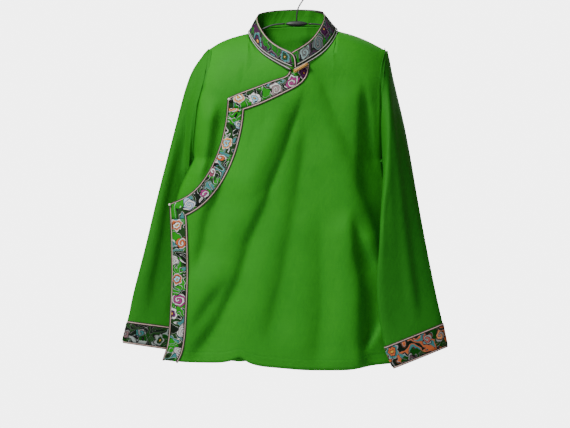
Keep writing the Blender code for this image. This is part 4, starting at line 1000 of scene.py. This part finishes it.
def hem_line(places, bins=80):
    """The lowest z of a panel at each x, as a table to look up."""
    low, high = places[:, 0].min(), places[:, 0].max()
    centres = np.linspace(low, high, bins)
    heights = []
    for centre in centres:
        near = np.abs(places[:, 0] - centre) < (high - low) / bins
        heights.append(places[near, 2].min() if near.any() else places[:, 2].min())
    return centres, np.array(heights)


def panel(node, name):
    """One panel of the body, with each point's height above the hem."""
    piece = sewn_copy(node, name)
    places = points_of(piece)
    keep_number(piece, "above_hem", places[:, 2] - np.interp(places[:, 0], *hem_line(places)))
    return piece


# The outer front's hem is lifted a little here, and the back's lowered, so that the back's inside shows
# below it. The stretch's middle, half its width, its height, and both rises, in metres.
HEM_GAP_X = -0.122
HEM_GAP_HALF = 0.013
HEM_GAP_REACH = 0.045
OUTER_HEM_RISE = 0.0080
BACK_HEM_RISE = -0.0018


def shift_hem(piece, rise):
    """Moves a short stretch of the hem up or down, fading out above it."""
    places = points_of(piece)
    above = places[:, 2] - np.interp(places[:, 0], *hem_line(places))
    near = np.exp(-(((places[:, 0] - HEM_GAP_X) / HEM_GAP_HALF) ** 2))
    places[:, 2] += rise * near * eased(1.0 - above / HEM_GAP_REACH)
    move_points(piece, places)


# Below the armpit a front's side edge is moved to SEAM_DEPTH, wholly so from ARMPIT_FADE further down. The
# edge is looked for in steps of SEAM_STEP, and the move fades out that far from it. All in metres.
ARMPIT = -0.385
ARMPIT_FADE = 0.03
SEAM_DEPTH = -0.0006
SEAM_STEP = 0.012


def close_side(piece, side):
    """Draws the side edge of a front against the back's, so that no light shows through the seam."""
    places = points_of(piece)
    levels = np.arange(places[:, 2].min(), ARMPIT + 2.0 * SEAM_STEP, SEAM_STEP)
    edges = np.empty((len(levels), 2))
    for row, level in enumerate(levels):
        near = places[np.abs(places[:, 2] - level) < SEAM_STEP]
        edges[row] = near[np.argmax(near[:, 0] * side), :2]
    edge_x = np.interp(places[:, 2], levels, edges[:, 0])
    edge_y = np.interp(places[:, 2], levels, edges[:, 1])
    share = eased(1.0 - np.abs(places[:, 0] - edge_x) / SEAM_STEP)
    share *= eased((ARMPIT - places[:, 2]) / ARMPIT_FADE)
    places[:, 1] += (SEAM_DEPTH - edge_y) * share
    move_points(piece, places)


class SHIRT_OT_body(bpy.types.Operator):
    """Make the back, the outer front and the under front of green cloth"""

    bl_idname = "shirt.body"
    bl_label = "Body panels"

    def execute(self, context):
        outer = panel("front_outer", "outer_front")
        under = panel("front_under", "under_front")
        back = panel("back", "back_panel")
        fold_front(outer)
        fold_front(under)
        fold_back(back)
        close_side(outer, 1)
        close_side(under, -1)
        shift_hem(outer, OUTER_HEM_RISE)
        shift_hem(back, BACK_HEM_RISE)
        cloth = cloth_material("green cloth")
        for piece, node in ((outer, "front_outer"), (under, "front_under"), (back, "back")):
            finish_piece(piece, cloth, "cloth", node)
        return {"FINISHED"}


class SHIRT_OT_sleeves(bpy.types.Operator):
    """Make both sleeves of green cloth, hanging from the armholes"""

    bl_idname = "shirt.sleeves"
    bl_label = "Sleeves"

    def execute(self, context):
        for side, sleeve in SLEEVES.items():
            piece = sewn_copy(f"sleeve_{side}", f"{side}_sleeve", shape=tuck_under)
            fold_sleeve(piece, sleeve)
            keep_number(piece, "above_hem", np.ones(len(piece.data.vertices)))
            # The sleeve's dye is darkened by its painted shade, as the sleeves hang in shade.
            cloth = cloth_material(f"green cloth of the {side} sleeve", radians(sleeve.grain), sleeve.shade)
            finish_piece(piece, cloth, "cloth", f"sleeve_{side}")
        return {"FINISHED"}


# The neck's middle for the collar, seen from above, and the collar's radius, in metres.
NECK_X = -0.0125
NECK_Y = 0.012
COLLAR_RADIUS = 0.085

# Behind the neck the collar's top piping turns outwards by this much, over this distance, and only its
# dark tape, the painted shade beside the piping, shows from here back. All in metres.
TURNED_OUT = np.array([0.0, 0.0012, -0.0020])
TURNED_OVER = 0.020
TAPE_ALONE = 0.004


class SHIRT_OT_collar(bpy.types.Operator):
    """Make the standing collar, its brocade and its three rows of piping"""

    bl_idname = "shirt.collar"
    bl_label = "Collar"

    def execute(self, context):
        trim = context.scene.shirt_trim
        stand = sewn_copy("collar_stand", "collar_lining")
        keep_number(stand, "above_hem", np.ones(len(stand.data.vertices)))
        lining = cloth_material("green cloth of the collar", wrinkles=2.5)
        finish_piece(stand, lining, "cloth", "collar_stand")
        brocade = sewn_copy("collar_brocade", "collar_band")
        places = points_of(brocade)
        angle = np.arctan2(places[:, 1], places[:, 0] - NECK_X)
        across = across_ribbon(places, "collar_piping_base", "collar_piping_top", RIBBON_WIDTH)
        keep_ribbon(brocade, angle * COLLAR_RADIUS, across)
        # The collar stands in shade: its clouds and bright green are darkened as painted shade.
        silk = brocade_material("collar brocade", RIBBON_WIDTH, "collar", 0.2, pale=0.20, leaf=0.80)
        finish_piece(brocade, silk, "brocade", "collar_brocade")
        grey = satin_material("grey satin piping", trim.base_piping)
        pink = satin_material("pink satin piping", trim.piping)
        dark = satin_material("dark tape of the collar", trim.shade_tape)
        for place, finish in (("base", grey), ("middle", grey), ("top", pink)):
            cord = piping(f"collar_piping_{place}", f"collar_{place}_piping", facing_out_of_neck)
            finish_piping(cord, finish, f"collar_piping_{place}", dark)
            if place == "top":
                turn_out_behind(cord)
        return {"FINISHED"}


def turn_out_behind(cord):
    """Turns a cord outwards behind the neck, so that only its dark tape of painted shade shows over the edge.
    """
    places = points_of(cord)
    turned = eased(places[:, 1] / TURNED_OVER)
    move_points(cord, places + TURNED_OUT * turned[:, None])
    for face in cord.data.polygons:
        if face.center.y > TAPE_ALONE:
            face.material_index = 1


def nearest_points(places, node, at_once=1000):
    """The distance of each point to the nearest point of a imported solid."""
    others = node_points(node)
    found = np.empty(len(places))
    for start in range(0, len(places), at_once):
        block = places[start:start + at_once]
        found[start:start + at_once] = np.linalg.norm(block[:, None] - others[None], axis=2).min(axis=1)
    return found


def across_ribbon(places, low_piping, high_piping, width):
    """How far across a ribbon each point lies, from its middle, between the pipings at its edges."""
    low = nearest_points(places, low_piping)
    high = nearest_points(places, high_piping)
    return (low / (low + high) - 0.5) * width


# A cord is this much fatter than its imported solid. Its tape, a dark edging that is also painted shade
# beside it, reaches out sideways, is pressed flat and lies a little below it. All in metres.
CORD_FATTER = 0.0001
TAPE_SIDEWAYS = 0.0019
TAPE_PRESSED = 0.0008
TAPE_BELOW = 0.0002


def piping(node, name, outwards):
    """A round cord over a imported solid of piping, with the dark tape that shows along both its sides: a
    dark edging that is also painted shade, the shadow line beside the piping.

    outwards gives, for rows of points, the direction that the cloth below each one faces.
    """
    piece = rounded(node, name, CORD_FATTER)
    cord = bmesh.new()
    cord.from_mesh(piece.data)
    shade_tape = bmesh.ops.duplicate(cord, geom=cord.faces[:] + cord.edges[:] + cord.verts[:])["geom"]
    points = [item for item in shade_tape if isinstance(item, bmesh.types.BMVert)]
    face_on = outwards(np.array([point.co[:] for point in points]))
    for point, front in zip(points, face_on):
        front = Vector(front)
        lifted = point.normal.dot(front)
        sideways = point.normal - lifted * front
        point.co += sideways * TAPE_SIDEWAYS - front * (lifted * TAPE_PRESSED + TAPE_BELOW)
    cord.to_mesh(piece.data)
    cord.free()
    return piece


def facing_viewer(places):
    """The direction that the front of the shirt faces."""
    return np.tile([0.0, -1.0, 0.0], (len(places), 1))


def facing_out_of_neck(places):
    """The direction out of the neck, for the collar."""
    rays = places * [1.0, 1.0, 0.0] - [NECK_X, NECK_Y, 0.0]
    return rays / np.linalg.norm(rays, axis=1)[:, None]


def middle_of(cuff):
    """A cuff's middle seen from the front, as x and z in metres."""
    return on_shirt([(cuff.x, cuff.drop)])[0]


def facing_out_of_sleeve(cuff, half_width=0.062, half_depth=0.018):
    """For the cuffs: a function that gives the direction out of the flat end of a sleeve."""
    middle = middle_of(cuff)
    turn = radians(cuff.turn)
    side = np.array([cos(turn), 0.0, -sin(turn)])

    def outwards(places):
        across = (places[:, [0, 2]] - middle) @ side[[0, 2]]
        line = np.polyfit(across, places[:, 1], 1)
        inward = places[:, 1] - np.polyval(line, across)
        rays = side[None] * (across / half_width**2)[:, None]
        rays[:, 1] += inward / half_depth**2
        return rays / np.linalg.norm(rays, axis=1)[:, None]

    return outwards


def finish_piping(piece, finish, node, edge_finish):
    """Gives a piping its satin, and its second half of faces, the tape, their dark colour of painted shade.
    """
    finish_piece(piece, finish, "piping", node)
    finish_rest(piece, edge_finish, len(piece.data.polygons) // 2)


class SHIRT_OT_edging(bpy.types.Operator):
    """Make the brocade edging of the front opening and its two rows of piping"""

    bl_idname = "shirt.edging"
    bl_label = "Edging"

    def execute(self, context):
        trim = context.scene.shirt_trim
        for part, border in BORDERS.items():
            piece = sewn_copy(f"trim_{part}", f"{part}_edging")
            places = points_of(piece)
            along = nearest_on_line(places, on_shirt(border.line))[0]
            across = across_ribbon(places, "edging_piping_outer", "edging_piping_inner", RIBBON_WIDTH)
            keep_ribbon(piece, along, across)
            fold_front(piece)
            silk = brocade_material(
                f"{part} brocade", RIBBON_WIDTH, "edging", border.shift, pale=0.85, green=0.02, leaf=1.5
            )
            finish_piece(piece, silk, "brocade", f"trim_{part}")
        pink = satin_material("pink satin piping of the edging", trim.piping)
        dark = satin_material("dark tape of the edging", trim.shade_tape)
        for border in ("inner", "outer"):
            cord = piping(f"edging_piping_{border}", f"{border}_edging_piping", facing_viewer)
            fold_front(cord)
            finish_piping(cord, pink, f"edging_piping_{border}", dark)
        return {"FINISHED"}


class SHIRT_OT_cuffs(bpy.types.Operator):
    """Make the brocade cuffs and the piping along their edges"""

    bl_idname = "shirt.cuffs"
    bl_label = "Cuffs"

    def execute(self, context):
        trim = context.scene.shirt_trim
        for side, cuff in CUFFS.items():
            piece = sewn_copy(f"cuff_{side}", f"{side}_cuff")
            places = points_of(piece)
            turn = radians(cuff.turn)
            along = (places[:, [0, 2]] - middle_of(cuff)) @ np.array([cos(turn), -sin(turn)])
            pipings = (f"cuff_piping_lower_{side}", f"cuff_piping_upper_{side}")
            keep_ribbon(piece, along, across_ribbon(places, *pipings, CUFF_WIDTH))
            # The cuffs hang in shade: their clouds and bright green are darkened as painted shade.
            silk = brocade_material(
                f"{side} cuff brocade", CUFF_WIDTH, f"{side} cuff", cuff.shift,
                pale=cuff.pale, green=cuff.green, leaf=0.35,
            )
            finish_piece(piece, silk, "brocade", f"cuff_{side}")
            pink = satin_material(f"pink satin piping of the {side} cuff", trim.piping)
            dark = satin_material(f"dark tape of the {side} cuff", trim.shade_tape)
            for edge in ("upper", "lower"):
                name = f"{side}_cuff_{edge}_piping"
                cord = piping(f"cuff_piping_{edge}_{side}", name, facing_out_of_sleeve(cuff))
                finish_piping(cord, pink, f"cuff_piping_{edge}_{side}", dark)
        return {"FINISHED"}


def rounded(node, name, fatter=0.0002):
    """A round, smooth copy of a packed cord or wire, made fatter by a length in metres."""
    piece = sewn_copy(node, name, cord=True)
    move_points(piece, points_of(piece) + normals_of(piece) * fatter)
    return piece


# The loop of cord that ties a ball button to the edging, in metres: its radius, its cord's radius and its
# place from the ball's middle, and its turn in degrees.
BALL_LOOP_RADIUS = 0.0024
BALL_LOOP_CORD = 0.0006
BALL_LOOP_PLACE = (0.0042, 0.0012, -0.0020)
BALL_LOOP_TURN = (80.0, 0.0, 12.0)


def add_button_loop(ball):
    """Joins the small loop of cord to a ball."""
    middle = points_of(ball).mean(axis=0)
    bpy.ops.object.select_all(action="DESELECT")
    bpy.ops.mesh.primitive_torus_add(
        major_segments=32, minor_segments=12, major_radius=BALL_LOOP_RADIUS, minor_radius=BALL_LOOP_CORD,
        location=middle + np.array(BALL_LOOP_PLACE), rotation=[radians(turn) for turn in BALL_LOOP_TURN],
    )
    ball.select_set(True)
    bpy.context.view_layer.objects.active = ball
    bpy.ops.object.join()


PEARL_ROSE = (0.78, 0.62, 0.60, 1.0)
PEARL_WHITE = (0.86, 0.85, 0.80, 1.0)
# The gold of the neck's cords, a darker gold as painted shade along each strand's twist, and painted shade in
# the gaps between the cords.
LOOP_GOLD = (0.86, 0.46, 0.11, 1.0)
LOOP_TWIST_SHADE = (0.55, 0.20, 0.03, 1.0)
LOOP_GAP_SHADE = (0.05, 0.015, 0.004, 1.0)

# The neck's loop is a row of gold cords: their slant in the picture in degrees, the distance from one to
# the next, the length of a strand's twist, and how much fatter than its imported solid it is, in metres.
LOOP_SLANT = -29.0
LOOP_CORD_STEP = 0.0034
LOOP_TWIST = 0.0016
LOOP_FATTER = 0.0006


def pearl_material():
    """Pearl in thin, uneven layers."""
    made, wire, shader = material("pearl", 0.22)
    layers = wire.noise(place_of(wire), 400.0, 2.0, 0.5, 1.0)
    wire.feed(shader.inputs["Base Color"], wire.mix(layers, PEARL_ROSE, PEARL_WHITE))
    return made


def gold_cord_material():
    """Twisted gold cords side by side, with painted shade along each strand's twist and in the gaps between
    them.
    """
    made, wire, shader = material("gold cords", 0.35)
    x, _, z = wire.parts(place_of(wire, radians(LOOP_SLANT)))
    ridge = wire.maths("ABSOLUTE", wire.maths("SINE", wire.maths("MULTIPLY", z, pi / LOOP_CORD_STEP)))
    twist = wire.maths("SINE", wire.maths("MULTIPLY", wire.maths("ADD", x, z), tau / LOOP_TWIST))
    shaded = wire.maths("MULTIPLY", wire.maths("ADD", twist, 1.0), 0.25)
    gold = wire.mix(shaded, LOOP_GOLD, LOOP_TWIST_SHADE)
    wire.feed(shader.inputs["Base Color"], wire.mix(wire.under(ridge, 0.35, 0.15), gold, LOOP_GAP_SHADE))
    bumped(wire, shader, wire.maths("ADD", ridge, wire.maths("MULTIPLY", twist, 0.1)))
    return made


class SHIRT_OT_closures(bpy.types.Operator):
    """Make the two ball buttons and the loop at the neck"""

    bl_idname = "shirt.closures"
    bl_label = "Closures"

    def execute(self, context):
        pearl = pearl_material()
        cord = satin_material("dark cord of the buttons", context.scene.shirt_trim.shade_tape)
        for place in ("corner", "side"):
            ball = sewn_copy(f"button_{place}", f"{place}_ball")
            faces = len(ball.data.polygons)
            add_button_loop(ball)
            fold_front(ball)
            finish_piece(ball, pearl, "pearl", f"button_{place}")
            finish_rest(ball, cord, faces)
        loop = rounded("neck_loop", "neck_cord", LOOP_FATTER)
        fold_front(loop)
        finish_piece(loop, gold_cord_material(), "loop", "neck_loop")
        return {"FINISHED"}


STEEL_DEEP = (0.10, 0.10, 0.11, 1.0)
STEEL = (0.22, 0.21, 0.22, 1.0)
PLASTIC_DEEP = (0.024, 0.030, 0.028, 1.0)
PLASTIC = (0.055, 0.065, 0.058, 1.0)

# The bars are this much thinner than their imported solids, in metres, to stay clear of the cloth.
BAR_THINNER = -0.0010


class SHIRT_OT_hanger(bpy.types.Operator):
    """Make the wire hook, the hub and the bar of the hanger"""

    bl_idname = "shirt.hanger"
    bl_label = "Hanger"

    def execute(self, context):
        steel, wire, shader = material("hook steel", 0.30, 1.0)
        scratches = wire.noise(place_of(wire), 700.0, 3.0)
        wire.feed(shader.inputs["Base Color"], wire.mix(scratches, STEEL_DEEP, STEEL))
        finish_piece(rounded("hanger_hook", "hook_wire"), steel, "steel", "hanger_hook")
        plastic, wire, shader = material("dark plastic", 0.42)
        grain = wire.noise(place_of(wire), 900.0, 3.0)
        wire.feed(shader.inputs["Base Color"], wire.mix(grain, PLASTIC_DEEP, PLASTIC))
        bumped(wire, shader, wire.maths("MULTIPLY", grain, 0.04))
        finish_piece(sewn_copy("hanger_hub", "hub"), plastic, "plastic", "hanger_hub")
        for side in ("right", "left"):
            bar = rounded(f"hanger_arm_{side}", f"{side}_bar", BAR_THINNER)
            finish_piece(bar, plastic, "plastic", f"hanger_arm_{side}")
        return {"FINISHED"}


# Studio

# Where each light stands and how wide it is, in metres.
Lamp = namedtuple("Lamp", "place size")
KEY_LIGHT = Lamp((-1.45, -1.75, 1.75), 0.80)
FILL_LIGHT = Lamp((-1.2, -4.0, 0.3), 2.2)
BACK_LIGHT = Lamp((1.6, 3.6, 1.4), 2.0)

# Colours of the light from all round, and of the surroundings as the camera sees them.
AROUND_TINT = (1.0, 0.90, 0.93, 1.0)
SEEN_TINT = (1.0, 1.0, 1.0, 1.0)


def add_light(name, lamp, target, strength):
    """A square area light at its place, turned towards a target."""
    light = bpy.data.lights.new(name, "AREA")
    light.shape = "SQUARE"
    light.size = lamp.size
    light.energy = strength
    holder = bpy.data.objects.new(name, light)
    bpy.context.scene.collection.objects.link(holder)
    holder.location = lamp.place
    holder.rotation_euler = (Vector(target) - Vector(lamp.place)).to_track_quat("-Z", "Y").to_euler()


class SHIRT_OT_stage(bpy.types.Operator):
    """Make the floor, the lights, the pale surroundings and the camera"""

    bl_idname = "shirt.stage"
    bl_label = "Stage"

    def execute(self, context):
        stage = context.scene.shirt_stage
        bpy.ops.object.select_all(action="DESELECT")
        bpy.ops.mesh.primitive_circle_add(
            vertices=96, radius=FLOOR_RADIUS, fill_type="NGON", location=(0.0, 0.0, FLOOR_HEIGHT)
        )
        floor = context.active_object
        floor.name = "floor"
        bpy.ops.object.transform_apply(location=True, rotation=True, scale=True)
        made, wire, shader = material("floor", 0.8)
        speckle = wire.noise(place_of(wire), 3.0, 2.0)
        wire.feed(shader.inputs["Base Color"], wire.mix(speckle, darker(stage.floor, 0.97), stage.floor))
        floor.data.materials.append(made)

        middle = (PICTURE_CENTRE[0], 0.0, PICTURE_CENTRE[1])
        add_light("key light", KEY_LIGHT, middle, stage.key)
        add_light("fill light", FILL_LIGHT, middle, stage.fill)
        add_light("back light", BACK_LIGHT, middle, stage.back)

        world = bpy.data.worlds.new("surroundings")
        context.scene.world = world
        world.use_nodes = True
        wire = Wiring(world.node_tree)
        seen = wire.add("ShaderNodeLightPath").outputs["Is Camera Ray"]
        lit = next(node for node in world.node_tree.nodes if node.type == "BACKGROUND")
        wire.feed(lit.inputs["Color"], wire.mix(seen, AROUND_TINT, SEEN_TINT))
        around = wire.maths("MULTIPLY", wire.maths("SUBTRACT", 1.0, seen), stage.ambient)
        backdrop = wire.maths("MULTIPLY", seen, stage.backdrop)
        wire.feed(lit.inputs["Strength"], wire.maths("ADD", around, backdrop))

        bpy.ops.object.camera_add(location=(PICTURE_CENTRE[0], -CAMERA_DISTANCE, PICTURE_CENTRE[1]))
        camera = context.active_object
        camera.rotation_euler = (pi / 2, 0.0, 0.0)
        camera.data.sensor_width = SENSOR_WIDTH
        camera.data.lens = SENSOR_WIDTH * CAMERA_DISTANCE / PICTURE_WIDTH
        camera.data.clip_end = 100.0
        context.scene.camera = camera
        return {"FINISHED"}


# Sizes that the pieces of cloth are cut to, in metres and square metres, how each is held and on what,
# and the pieces sewn to it.
Cut = namedtuple("Cut", "width length area held rests_on trims")


class SHIRT_OT_cuts(bpy.types.Operator):
    """Does nothing: it names no sheets of cloth and gives no cut sizes"""

    bl_idname = "shirt.cuts"
    bl_label = "Cut sizes"

    def execute(self, context):
        return {"FINISHED"}


PIECES = (
    SHIRT_OT_body, SHIRT_OT_sleeves, SHIRT_OT_collar, SHIRT_OT_edging, SHIRT_OT_cuffs,
    SHIRT_OT_closures, SHIRT_OT_hanger, SHIRT_OT_cuts, SHIRT_OT_stage,
)


class SHIRT_PT_sidebar(bpy.types.Panel):
    """Lists the shirt's pieces, sizes and colours"""

    bl_idname = "SHIRT_PT_sidebar"
    bl_label = "Tibetan shirt"
    bl_space_type = "VIEW_3D"
    bl_region_type = "UI"
    bl_category = "Shirt"

    def draw(self, context):
        for name, kind in GROUPS.items():
            box = self.layout.box()
            for setting in kind.__annotations__:
                box.prop(getattr(context.scene, name), setting)
        for piece in PIECES:
            self.layout.operator(piece.bl_idname)


def register():
    for kind in (*GROUPS.values(), *PIECES, SHIRT_PT_sidebar):
        bpy.utils.register_class(kind)
    for name, kind in GROUPS.items():
        setattr(bpy.types.Scene, name, bpy.props.PointerProperty(type=kind))


def unregister():
    for name in GROUPS:
        delattr(bpy.types.Scene, name)
    for kind in reversed((*GROUPS.values(), *PIECES, SHIRT_PT_sidebar)):
        bpy.utils.unregister_class(kind)


def main():
    register()
    for piece in PIECES:
        group, operator = piece.bl_idname.split(".")
        getattr(getattr(bpy.ops, group), operator)()


if __name__ == "__main__":
    main()
